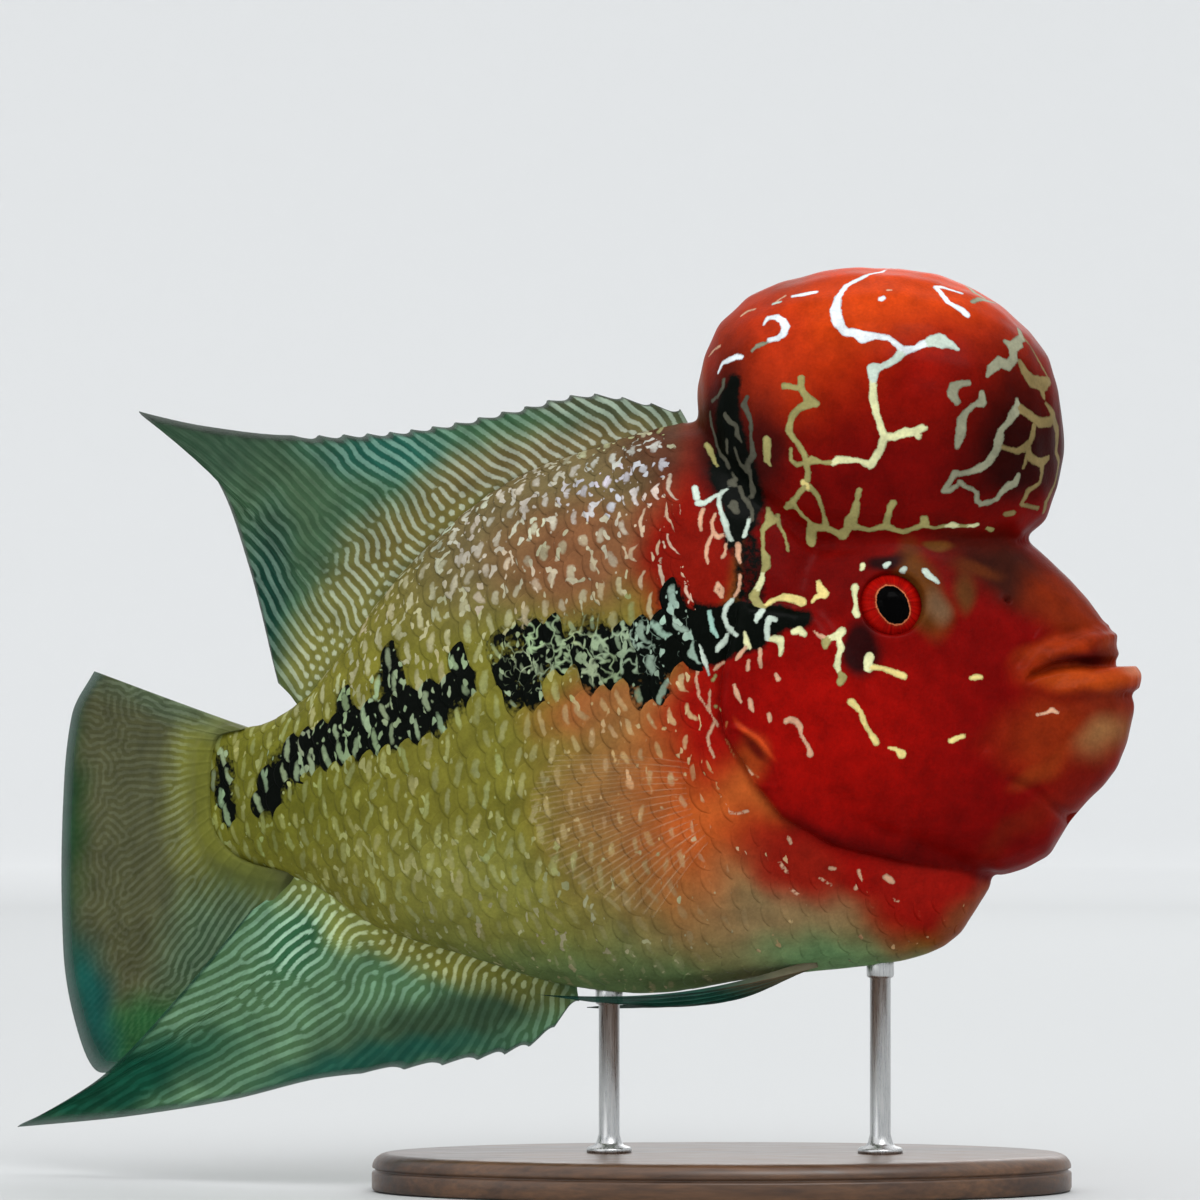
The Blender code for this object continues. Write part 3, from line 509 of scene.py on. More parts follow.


# Pale worm lines of the hump and face, and the streaks of the black nape band. On the real fish they are rows
# of bright scales. On the model they are brushed in by hand, each stroke in its tone, through (u, v, half
# width) in pixels of the picture. One stroke at the mouth's corner is a painted highlight instead.
TONES = {
    "silver": (0.62, 0.66, 0.68), "cream": (0.60, 0.60, 0.33), "olive": (0.30, 0.27, 0.10),
    "lace": (0.17, 0.125, 0.05), "grey": (0.21, 0.21, 0.14), "ash": (0.075, 0.073, 0.052),
    "rust": (0.42, 0.12, 0.04), "gold": (0.66, 0.54, 0.20),
    "pink": (0.58, 0.32, 0.20), "teal": (0.30, 0.50, 0.42), "white": (0.46, 0.54, 0.46),
}
STROKES = (
    # crown line and its branches
    ("silver", (900, 268, 1), (882, 272, 1.6), (862, 278, 2.2), (846, 286, 2.8), (838, 298, 3),
     (835, 310, 5.5), (838, 322, 5.5), (845, 332, 4), (855, 333, 4.5), (863, 337, 6.5), (875, 336, 3.5),
     (888, 338, 2.6), (898, 345, 2.6), (903, 351, 4.5)),
    ("silver", (903, 351, 4.5), (915, 348, 2.8), (926, 343, 4)),
    ("white", (926, 343, 4), (932, 341, 5.5), (940, 341, 8), (950, 344, 4), (958, 349, 1.8)),
    ("white", (903, 351, 4.5), (895, 360, 3.5), (883, 366, 3), (873, 369, 6), (873, 382, 3.2)),
    ("cream", (873, 382, 3.2), (873, 400, 4), (877, 415, 3.2), (881, 428, 3.2), (884, 437, 3.5)),
    ("cream", (884, 437, 3.5), (895, 437, 3.5), (905, 432, 4.5), (915, 432, 4), (922, 428, 3.5),
     (926, 428, 1.8)),
    ("cream", (915, 432, 3.5), (918, 436, 3.2)),
    ("cream", (884, 437, 3.5), (880, 450, 3.5), (874, 460, 4), (871, 465, 4), (860, 461, 1.8),
     (850, 460, 3.2), (838, 460, 3.8), (833, 463, 2.6)),
    ("olive", (833, 463, 2), (822, 462, 1.6), (812, 460, 4), (807, 462, 3.5)),
    # left figure and loops
    ("olive", (784, 386, 3), (793, 387, 3), (799, 388, 2.6)),
    ("olive", (801, 378, 3.5), (801, 388, 3), (806, 396, 3.5), (810, 402, 5), (816, 404, 3.5)),
    ("olive", (810, 403, 5), (799, 408, 3), (793, 415, 3), (790, 424, 3.5), (789, 431, 3.5),
     (793, 438, 2.5), (799, 445, 2.5), (804, 453, 2.5), (806, 463, 3.2), (808, 472, 2.5), (807, 480, 3)),
    ("olive", (791, 449, 1.3), (791, 460, 1.7), (797, 465, 2), (804, 463, 2)),
    ("gold", (804, 483, 3.6), (808, 487, 3.4)),
    ("olive", (806, 485, 3), (800, 492, 2.6), (795, 499, 2.2), (790, 505, 4), (786, 508, 2.4)),
    ("olive", (793, 503, 3), (798, 510, 2.2), (803, 516, 2), (809, 521, 2), (812, 527, 5), (811, 536, 5),
     (811, 543, 4.5)),
    ("olive", (810, 487, 3), (814, 491, 2.6), (818, 497, 2.5), (821, 505, 2), (823, 513, 1.6),
     (825, 520, 2.6), (826, 527, 3.5)),
    # bottom row of the hump with its spikes
    ("olive", (812, 527, 5), (826, 528, 4), (835, 532, 3.5), (842, 535, 5.5), (848, 529, 4),
     (850, 522, 6.5), (855, 512, 4), (857, 500, 2.6), (859, 490, 2.6)),
    ("olive", (850, 525, 6), (860, 528, 3), (868, 530, 2.5), (878, 528, 2.8), (886, 526, 4), (895, 530, 3),
     (903, 532, 3), (912, 529, 2.6), (920, 526, 3), (925, 524, 4.5), (924, 519, 4)),
    ("olive", (886, 526, 3.5), (888, 516, 3), (890, 508, 3), (893, 503, 3.5)),
    ("olive", (925, 526, 2.5), (935, 528, 1.2), (944, 526, 2)),
    ("cream", (946, 526, 1.8), (952, 525, 3.6), (958, 526, 2)),
    ("cream", (968, 526, 1.6), (973, 526, 2), (978, 524, 2)),
    ("olive", (958, 526, 1.8), (967, 526, 1.4)),
    ("olive", (987, 528, 2), (992, 530, 3)),
    # hook, dashes and dots of the crown
    ("silver", (764, 324, 1.5), (768, 318, 2.2), (776, 317, 3), (783, 321, 4), (786, 327, 4), (783, 334, 4),
     (778, 338, 3), (769, 340, 2.2)),
    ("grey", (766, 343, 1.3), (757, 346, 2.3), (752, 351, 1.4)),
    ("silver", (793, 296, 1.8), (802, 295, 2.6), (811, 293, 2.6), (816, 292, 2)),
    ("white", (773, 304, 1.5), (780, 302, 1.5)),
    ("pink", (776, 302, 1), (785, 296, 0.9)),
    ("pink", (755, 309, 1), (748, 311, 1.2), (741, 316, 1)),
    ("pink", (720, 346, 1), (714, 350, 1.3), (709, 356, 1.1)),
    ("silver", (742, 357, 2), (736, 357, 3), (729, 360, 3), (723, 363, 2.2), (720, 368, 1.8),
     (718, 373, 1.2)),
    ("silver", (881, 299, 2.8), (883, 298, 2.4)),
    ("pink", (888, 290, 1.7), (891, 290, 1.5)),
    ("silver", (961, 293, 1.6), (951, 290, 1.6), (942, 287, 2), (936, 287, 2.5), (941, 293, 2.5),
     (948, 302, 3), (955, 306, 2.8), (962, 310, 3.5), (967, 315, 3)),
    ("grey", (972, 302, 2), (980, 299, 3), (988, 301, 2), (995, 303, 1.2)),
    ("grey", (966, 286, 1.5), (975, 293, 3), (984, 298, 2.5)),
    # grey net of the front
    ("grey", (987, 376, 2), (992, 368, 5), (1000, 362, 6), (1008, 366, 5), (1014, 358, 5), (1012, 348, 6),
     (1020, 344, 4)),
    ("grey", (1006, 342, 3), (1012, 346, 5), (1022, 338, 4), (1019, 330, 3)),
    ("lace", (1022, 336, 1.5), (1036, 356, 1.5), (1045, 372, 1.5), (1050, 382, 1.5)),
    ("lace", (1020, 362, 3), (1025, 372, 5), (1032, 381, 7), (1042, 384, 8), (1049, 380, 4)),
    ("lace", (1042, 390, 4), (1044, 398, 2)),
    ("grey", (969, 383, 2.5), (961, 383, 3), (954, 387, 5), (952, 394, 5), (957, 402, 3)),
    ("grey", (982, 393, 3), (982, 402, 4.5), (974, 405, 2.5), (967, 411, 2.5), (962, 419, 4.5),
     (961, 430, 5), (959, 440, 4.5), (957, 447, 2)),
    ("grey", (1017, 400, 2), (1018, 408, 5), (1012, 416, 5), (1007, 424, 3), (1001, 430, 3), (999, 440, 5),
     (997, 448, 4), (993, 455, 4), (988, 463, 4), (980, 468, 4), (970, 472, 2.5), (960, 474, 2.5),
     (955, 473, 3.2), (951, 480, 2.5), (947, 486, 3), (943, 491, 2), (950, 490, 2.6), (956, 486, 2)),
    ("lace", (1018, 408, 5), (1026, 412, 4), (1033, 418, 4), (1040, 423, 5), (1050, 422, 5), (1054, 416, 4),
     (1050, 409, 3), (1046, 404, 1.5)),
    ("lace", (1054, 420, 5), (1057, 430, 5), (1057, 442, 4), (1056, 452, 3), (1059, 462, 3),
     (1057, 474, 2.5), (1054, 486, 2), (1050, 494, 3), (1046, 502, 3), (1044, 512, 2.5)),
    ("lace", (1034, 426, 3), (1033, 434, 3), (1030, 442, 3), (1024, 448, 4), (1017, 451, 3), (1008, 449, 2),
     (1002, 447, 2)),
    ("lace", (1028, 446, 3), (1029, 456, 4), (1034, 460, 4), (1042, 463, 5), (1048, 458, 3)),
    ("lace", (1042, 464, 5), (1042, 472, 3), (1040, 482, 2), (1034, 487, 2.5), (1028, 491, 3),
     (1025, 498, 2.5), (1021, 504, 2), (1030, 507, 2), (1038, 508, 2)),
    ("lace", (1026, 456, 1.9), (1025, 464, 1.6), (1023, 468, 1.3)),
    ("grey", (960, 482, 2.5), (965, 487, 1.6), (972, 489, 1.6), (977, 493, 2.2), (977, 501, 2.4),
     (981, 504, 3), (990, 502, 2.5), (997, 499, 2.5), (1002, 492, 3), (1007, 487, 4), (1015, 483, 4),
     (1018, 476, 3)),
    ("lace", (1006, 514, 3), (1013, 513, 3)),
    # streaks in the black band behind the hump
    ("ash", (747, 397, 2), (744, 405, 4), (748, 413, 2.6), (751, 422, 2), (751, 436, 1.7), (752, 447, 2.6),
     (753, 455, 3.5), (748, 463, 2.6), (747, 470, 4), (741, 465, 1.8), (737, 456, 1.3), (735, 448, 1.1)),
    ("ash", (725, 415, 3), (729, 421, 3), (737, 426, 2), (737, 434, 3), (741, 441, 1.5)),
    ("ash", (724, 380, 1.8), (723, 387, 2), (718, 396, 1.4), (712, 401, 1.8)),
    ("ash", (710, 412, 1.5), (711, 424, 1.8), (715, 436, 1.5), (717, 446, 1.4), (721, 455, 2),
     (726, 460, 2), (729, 468, 1.2)),
    ("ash", (727, 440, 1.5), (727, 452, 1.8)),
    ("olive", (706, 444, 2), (710, 450, 3.2), (713, 458, 2), (717, 466, 1.2)),
    ("olive", (767, 440, 4), (767, 450, 4), (767, 460, 3.5), (770, 465, 1.7)),
    ("ash", (732, 473, 1.2), (736, 479, 2), (731, 483, 3.6), (735, 485, 2)),
    ("ash", (750, 470, 1.4), (751, 480, 1.9), (753, 490, 3.6), (752, 496, 2)),
    ("ash", (740, 487, 1.6), (743, 497, 2), (748, 503, 2.6), (752, 510, 2), (752, 520, 1.9)),
    ("ash", (734, 504, 4.2), (736, 511, 3), (729, 506, 1.6)),
    ("white", (749, 520, 1.8), (747, 528, 1.6), (744, 536, 2.4)),
    ("white", (719, 496, 1.6), (719, 505, 2.2), (722, 515, 2), (725, 523, 3.2), (727, 531, 2.6),
     (731, 540, 1.9)),
    ("white", (698, 503, 3.4), (705, 503, 2.5), (713, 497, 2), (720, 494, 2), (727, 489, 1.3)),
    ("white", (695, 488, 3), (697, 498, 3)),
    ("pink", (738, 546, 3), (738, 556, 2.2), (740, 563, 1.2)),
    ("pink", (740, 575, 1.6), (739, 588, 1.3), (735, 596, 1.5)),
    # crescents of the shoulder next to it
    ("pink", (715, 514, 1.2), (712, 523, 1.7), (713, 532, 2.2), (718, 537, 2.5), (723, 535, 1.5)),
    ("pink", (713, 533, 1.6), (707, 546, 1.8), (706, 556, 1.6), (708, 564, 1)),
    ("pink", (726, 544, 1.2), (725, 553, 1.2), (722, 558, 1)),
    ("pink", (703, 510, 1.5), (700, 519, 2.2), (701, 530, 1.4)),
    ("pink", (718, 584, 2), (722, 589, 1.6), (722, 597, 1.5), (716, 590, 1.7), (717, 586, 1.6)),
    # temple line down to the gold row
    ("olive", (768, 509, 2), (771, 520, 5.6), (777, 520, 3)),
    ("olive", (771, 520, 5), (763, 530, 2.2), (763, 540, 1.7), (763, 550, 1.9), (766, 558, 4),
     (766, 565, 4), (763, 572, 1.9)),
    ("cream", (763, 572, 1.9), (761, 582, 3), (757, 590, 3)),
    ("olive", (757, 590, 3), (754, 597, 4.6), (758, 604, 4.5), (763, 607, 3)),
    ("olive", (778, 515, 1.5), (779, 525, 1.8), (784, 533, 1.3), (786, 541, 1.3), (788, 550, 1.6)),
    ("gold", (766, 605, 2), (770, 602, 2.2), (776, 599, 2), (783, 597, 3.5), (788, 598, 3.8), (796, 599, 4),
     (801, 602, 5)),
    ("gold", (818, 582, 2), (820, 588, 4), (824, 594, 4.6), (816, 597, 2.2), (812, 602, 1.2)),
    ("cream", (855, 587, 3.4), (855, 596, 1.8), (856, 605, 2), (855, 612, 3), (857, 615, 3)),
    ("cream", (863, 565, 2.6), (862, 569, 2.2)),
    # round the black blotch on the gill cover
    ("white", (763, 610, 2.5), (758, 616, 3.5), (756, 620, 2.6)),
    ("white", (775, 620, 2.5), (770, 618, 3), (767, 625, 3), (767, 633, 2.5), (768, 639, 2.5)),
    ("cream", (768, 639, 2.4), (775, 639, 3), (781, 640, 3.4), (781, 648, 2.5), (780, 655, 1.4)),
    ("cream", (793, 632, 2.5), (799, 630, 3.5), (804, 634, 2.5)),
    ("white", (732, 600, 2), (726, 607, 2), (724, 616, 2.2), (727, 625, 2.4), (733, 631, 2.8),
     (736, 635, 2)),
    ("teal", (709, 612, 2), (711, 622, 2.4), (713, 630, 2), (718, 637, 1.2)),
    ("white", (727, 635, 2), (725, 641, 3), (719, 647, 2.6), (717, 651, 1.5)),
    ("cream", (745, 633, 1.6), (746, 642, 3), (750, 648, 1.6)),
    ("pink", (745, 648, 1.5), (740, 654, 2.4), (736, 660, 1.4)),
    ("pink", (748, 661, 1.6), (748, 670, 1.4)),
    ("pink", (760, 650, 1.6), (760, 660, 2), (761, 667, 1.3)),
    # gold marks of the cheek
    ("pink", (814, 631, 1.2), (818, 635, 1.4), (824, 637, 2)),
    ("cream", (842, 631, 3.5), (837, 636, 4.5), (830, 638, 3)),
    ("olive", (830, 638, 3), (826, 642, 4), (825, 647, 2.5)),
    ("cream", (839, 640, 3), (841, 648, 3), (838, 657, 2.5), (837, 665, 3), (839, 672, 2)),
    ("olive", (839, 672, 2), (843, 677, 4), (840, 682, 3.5)),
    ("cream", (870, 656, 4), (868, 662, 4.5), (868, 668, 4)),
    ("gold", (870, 667, 3), (882, 668, 1.8), (890, 671, 2.4), (898, 674, 3.2), (904, 676, 3)),
    ("gold", (851, 702, 3.5), (856, 706, 3), (861, 712, 2), (863, 719, 2.8), (865, 725, 2.2),
     (870, 732, 1.5), (873, 737, 3.2), (876, 742, 3)),
    ("gold", (889, 748, 1.6), (896, 749, 2), (902, 754, 4.4)),
    ("pink", (786, 721, 2.4), (790, 719, 2.6), (796, 721, 2.8), (800, 727, 2.8), (801, 734, 1.3),
     (805, 741, 1.6), (809, 748, 1.6), (810, 754, 3.2)),
    ("pink", (769, 714, 1.6), (770, 721, 1.8)),
    ("pink", (699, 668, 0.8), (696, 678, 1.1), (699, 696, 1.1), (708, 710, 0.7)),
    ("pink", (710, 690, 0.7), (709, 710, 1), (718, 726, 0.8)),
    ("pink", (714, 724, 0.9), (708, 736, 1.2), (709, 746, 1.2), (714, 757, 0.8)),
    ("white", (699, 646, 1.6), (702, 656, 3), (706, 664, 1.8), (709, 675, 0.7)),
    ("pink", (724, 662, 1.4), (717, 667, 1.6), (714, 670, 0.8)),
    ("olive", (713, 680, 1.8), (716, 675, 1)),
    ("olive", (716, 706, 1.4), (720, 710, 1.6)),
    ("rust", (727, 722, 0.8), (726, 740, 0.8), (734, 756, 0.9), (748, 768, 0.9), (758, 777, 0.7)),
    ("pink", (748, 768, 0.5), (752, 774, 1.4)),
    ("pink", (734, 685, 1.5), (737, 693, 2.4), (741, 702, 1.7)),
    ("pink", (750, 700, 1.8), (751, 707, 2), (753, 711, 1.2)),
    ("pink", (776, 674, 1.3), (778, 679, 2.4)),
    ("gold", (972, 678, 2), (977, 677, 2.6), (981, 677, 2)),
    ("gold", (951, 741, 2.4), (957, 738, 2.6), (963, 736, 2)),
    ("white", (886, 565, 3), (889, 563, 2)),
    ("white", (902, 571, 3), (905, 568, 2)),
    ("white", (925, 571, 3.2), (929, 576, 3.6), (934, 579, 2.6), (938, 582, 1.6)),
    # painted highlight at the corner of the mouth
    ("pink", (1037, 715, 1), (1046, 713, 1.4), (1052, 710, 2.4), (1058, 713, 1.2)),
    # little marks of throat and shoulder
    ("pink", (886, 877, 2.4), (890, 880, 3.2), (893, 882, 2)),
    ("pink", (893, 899, 1.4), (897, 901, 2)),
    ("pink", (859, 871, 1.6), (861, 879, 1.4), (856, 888, 2)),
    ("pink", (830, 868, 1.5), (835, 869, 1.6)),
    ("pink", (820, 878, 1), (831, 885, 1)),
    ("pink", (788, 836, 1), (791, 843, 1.2)),
    ("pink", (729, 812, 1.2), (738, 814, 1.2), (747, 811, 1.4)),
    ("pink", (725, 805, 1.2), (728, 807, 1.2)),
    ("pink", (780, 863, 1.4), (787, 872, 1.6)),
    ("pink", (790, 889, 1.2), (799, 895, 1.2)),
)
BRUSH_SPREAD = 0.4  # pixels that the wet brush adds to each side of a stroke
# Black ink: the nape band, the brown that it fades into, and the blotches from the cheek to the tail stalk
INK = (
    (734, 382, 8), (729, 400, 13), (727, 420, 18), (729, 440, 23), (733, 460, 26), (738, 480, 26),
    (742, 500, 22), (741, 518, 18), (738, 532, 13), (733, 542, 9),
)
INK_BROWN_DEPTH = 0.5
INK_BROWN = ((744, 545, 13), (750, 560, 14), (750, 580, 14), (748, 600, 15))
INK_BLOTCHES = (
    ((672, 600, 16), (690, 625, 19), (700, 624, 20), (720, 626, 20), (742, 616, 19), (760, 622, 18),
     (780, 617, 15), (802, 618, 10)),
    ((690, 625, 20), (665, 632, 23), (645, 638, 18), (640, 660, 14)),
    ((755, 636, 14), (722, 644, 18), (700, 650, 18), (668, 658, 17), (640, 664, 14), (605, 660, 16),
     (575, 660, 14)),
    ((652, 692, 14), (650, 680, 12), (660, 668, 12)),
    ((560, 648, 13), (590, 640, 17), (620, 636, 18), (650, 634, 20)),
    ((585, 672, 12), (610, 676, 13), (635, 676, 12)),
    ((560, 655, 16), (545, 642, 18), (530, 660, 18), (505, 668, 16), (510, 695, 10), (535, 692, 10)),
    ((498, 640, 10), (523, 630, 13), (550, 625, 11)),
    ((457, 658, 10), (464, 674, 14), (455, 694, 20), (430, 705, 25), (410, 714, 26), (390, 722, 28),
     (370, 728, 28), (350, 736, 27), (330, 742, 25), (315, 745, 21), (300, 752, 20), (288, 768, 20),
     (272, 784, 21), (266, 806, 15)),
    ((392, 655, 8), (390, 680, 16)),
    ((342, 690, 7), (345, 710, 12)),
    ((222, 765, 9), (224, 785, 12), (230, 808, 11), (226, 824, 6)),
)


def skin_tree(mesh):
    points = mesh_points(mesh)
    faces = [tuple(face.vertices) for face in mesh.polygons]
    return BVHTree.FromPolygons([Vector(p) for p in points], faces)


def on_skin(tree, u, v):
    """The skin's point that the picture shows at pixel u, v, in the frame."""
    away = sight_line(u, v)
    start = Vector(CAMERA_AT)
    hit = tree.ray_cast(start, away)[0]
    if hit is None:
        hit = tree.find_nearest(start + away * (CAMERA_DISTANCE * MM / away.y))[0]
    return np.array(hit)


def on_left(tree, point):
    """The like place on the fish's left side, a little off the true mirror image."""
    x, side, z = fish_measure(point)
    moved_x = x + 2.6 * math.sin(z / 13) + 1.2 * math.sin(x / 6)
    moved_z = z + 2.2 * math.sin(x / 11 + 1)
    return np.array(tree.find_nearest(Vector(place(moved_x, -side, moved_z)))[0])


def brushed_field(points, strokes, tree):
    """How many millimetres each point lies inside the strokes of both sides, and which stroke is deepest."""
    depth = np.full(len(points), -9.0)
    which = np.zeros(len(points), int)
    for number, stroke in enumerate(strokes):
        right = [on_skin(tree, u, v) for u, v, _ in stroke]
        half = np.array([width + BRUSH_SPREAD for _, _, width in stroke]) * PIXEL * MM
        for line in (right, [on_left(tree, point) for point in right]):
            line = np.array(line)
            reach = half.max() + 4 * MM
            near = np.flatnonzero(((points > line.min(0) - reach) & (points < line.max(0) + reach)).all(1))
            if not len(near):
                continue
            close = points[near]
            for i in range(len(line) - 1):
                along = line[i + 1] - line[i]
                t = np.clip((close - line[i]) @ along / max(along @ along, 1e-12), 0, 1)
                off = np.linalg.norm(close - line[i] - t[:, None] * along, axis=1)
                inside = (half[i] + (half[i + 1] - half[i]) * t - off) / MM
                deeper = inside > depth[near]
                depth[near[deeper]] = inside[deeper]
                which[near[deeper]] = number
    return depth, which


def add_field(mesh, name, kind, part, values):
    """Stores something at each point of a mesh, for its material to read."""
    field = mesh.attributes.new(name, kind, "POINT").data
    field.foreach_set(part, np.asarray(values, np.float32).ravel())


def add_value(mesh, name, values):
    add_field(mesh, name, "FLOAT", "value", values)


def add_vector(mesh, name, vectors):
    add_field(mesh, name, "FLOAT_VECTOR", "vector", vectors)


def add_colour(mesh, name, colours):
    """Stores colours, which carry a fourth share if they have one."""
    rgba = np.ones((len(colours), 4), np.float32)
    rgba[:, :np.shape(colours)[1]] = colours
    add_field(mesh, name, "FLOAT_COLOR", "color", rgba)


def ink_depth(points, tree):
    """How deep each point lies in the black markings, in millimetres."""
    black, _ = brushed_field(points, (INK, *INK_BLOTCHES), tree)
    brown, _ = brushed_field(points, (INK_BROWN,), tree)
    return np.maximum(black, np.minimum(brown, INK_BROWN_DEPTH))


tree = skin_tree(skin_mesh)
points = mesh_points(skin_mesh)
x, side, z = fish_measure(points)
lines, stroke_of = brushed_field(points, [stroke[1:] for stroke in STROKES], tree)
stroke_tones = np.array([TONES[stroke[0]] for stroke in STROKES])
add_value(skin_mesh, "lines", lines)
add_colour(skin_mesh, "line_tone", stroke_tones[stroke_of])
add_value(skin_mesh, "ink", ink_depth(points, tree))
add_colour(skin_mesh, "ground", ground_colour(x, side, z))


def new_finish(name):
    """A new material, with its node tree, nodes and shader."""
    material = bpy.data.materials.new(name)
    material.use_nodes = True
    tree = material.node_tree
    return material, tree, tree.nodes, tree.nodes["Principled BSDF"]


def wire(tree, *links):
    """Joins (node, output) to (node, input) pairs."""
    for (from_node, output), (to_node, entry) in links:
        tree.links.new(from_node.outputs[output], to_node.inputs[entry])


def read_attribute(nodes, name):
    node = nodes.new("ShaderNodeAttribute")
    node.attribute_name = name
    return node


def noise(nodes, size_mm, detail=3.0, roughness=0.5):
    """Noise of lumps about size_mm across, in the mesh's own metres."""
    node = nodes.new("ShaderNodeTexNoise")
    node.inputs["Scale"].default_value = 1000 / size_mm
    node.inputs["Detail"].default_value = detail
    node.inputs["Roughness"].default_value = roughness
    return node


def remap(nodes, low, high, to_low, to_high):
    node = nodes.new("ShaderNodeMapRange")
    node.inputs["From Min"].default_value = low
    node.inputs["From Max"].default_value = high
    node.inputs["To Min"].default_value = to_low
    node.inputs["To Max"].default_value = to_high
    return node


def mixer(nodes, blend="MIX"):
    node = nodes.new("ShaderNodeMix")
    node.data_type = "RGBA"
    node.blend_type = blend
    return node


def math_node(nodes, operation, *values, kind="ShaderNodeMath"):
    """A Math node. Its second and third inputs take the values."""
    node = nodes.new(kind)
    node.operation = operation
    for entry, value in enumerate(values, 1):
        node.inputs[entry].default_value = value
    return node


def vector_math(nodes, operation, *values):
    return math_node(nodes, operation, *values, kind="ShaderNodeVectorMath")


def add_relief(tree, shader, relief, drift, depth_mm, roughness, strength=0.5):
    """Fine relief from one noise, and a roughness that drifts between two values with another."""
    bumps = tree.nodes.new("ShaderNodeBump")
    bumps.inputs["Distance"].default_value = depth_mm * MM
    bumps.inputs["Strength"].default_value = strength
    shine = remap(tree.nodes, 0.3, 0.7, *roughness)
    wire(
        tree,
        ((relief, "Fac"), (bumps, "Height")),
        ((bumps, "Normal"), (shader, "Normal")),
        ((drift, "Fac"), (shine, "Value")),
        ((shine, "Result"), (shader, "Roughness")),
    )


def varnish(shader, weight, roughness, specular=0.5):
    """A clear coat, over a base with this much gloss of its own."""
    shader.inputs["Coat Weight"].default_value = weight
    shader.inputs["Coat Roughness"].default_value = roughness
    shader.inputs["Specular IOR Level"].default_value = specular


INK_COLOUR = (0.0015, 0.0025, 0.0015, 1)
MIX_A, MIX_B, MIX_OUT = 6, 7, 2  # sockets of a colour Mix node
SPOT_WARP = (1.5, 0.8, 0)  # how far a spot's outline wanders, in its own half width and half length
VEIN_CELL = 3.5
VEIN_WARP = 3.2
VEIN_UPRIGHT = 0.65  # shortens the pattern's measure upwards, so that marks and veins stand tall


def spot_inside(tree, wandering):
    """How far inside a scale's pearly spot a point lies: 1 at its middle, 0 at its edge."""
    nodes = tree.nodes
    spot = read_attribute(nodes, "spot_at")
    moved = vector_math(nodes, "MULTIPLY_ADD", SPOT_WARP)
    parts = nodes.new("ShaderNodeSeparateXYZ")
    along_twice = math_node(nodes, "MULTIPLY")
    bowed = math_node(nodes, "MULTIPLY_ADD")
    across_twice = math_node(nodes, "MULTIPLY")
    along_size = math_node(nodes, "ABSOLUTE")
    along_cubed = math_node(nodes, "MULTIPLY")
    reach = math_node(nodes, "ADD")
    inside = math_node(nodes, "SUBTRACT")
    inside.inputs[0].default_value = 1
    wire(
        tree,
        ((wandering, "Vector"), (moved, 0)),
        ((spot, "Vector"), (moved, 2)),
        ((moved, "Vector"), (parts, "Vector")),
        ((parts, "Y"), (along_twice, 0)),
        ((parts, "Y"), (along_twice, 1)),
        ((parts, "Z"), (bowed, 0)),
        ((along_twice, "Value"), (bowed, 1)),
        ((parts, "X"), (bowed, 2)),
        ((bowed, "Value"), (across_twice, 0)),
        ((bowed, "Value"), (across_twice, 1)),
        ((parts, "Y"), (along_size, 0)),
        ((along_size, "Value"), (along_cubed, 0)),
        ((along_twice, "Value"), (along_cubed, 1)),
        ((across_twice, "Value"), (reach, 0)),
        ((along_cubed, "Value"), (reach, 1)),
        ((reach, "Value"), (inside, 1)),
    )
    return inside


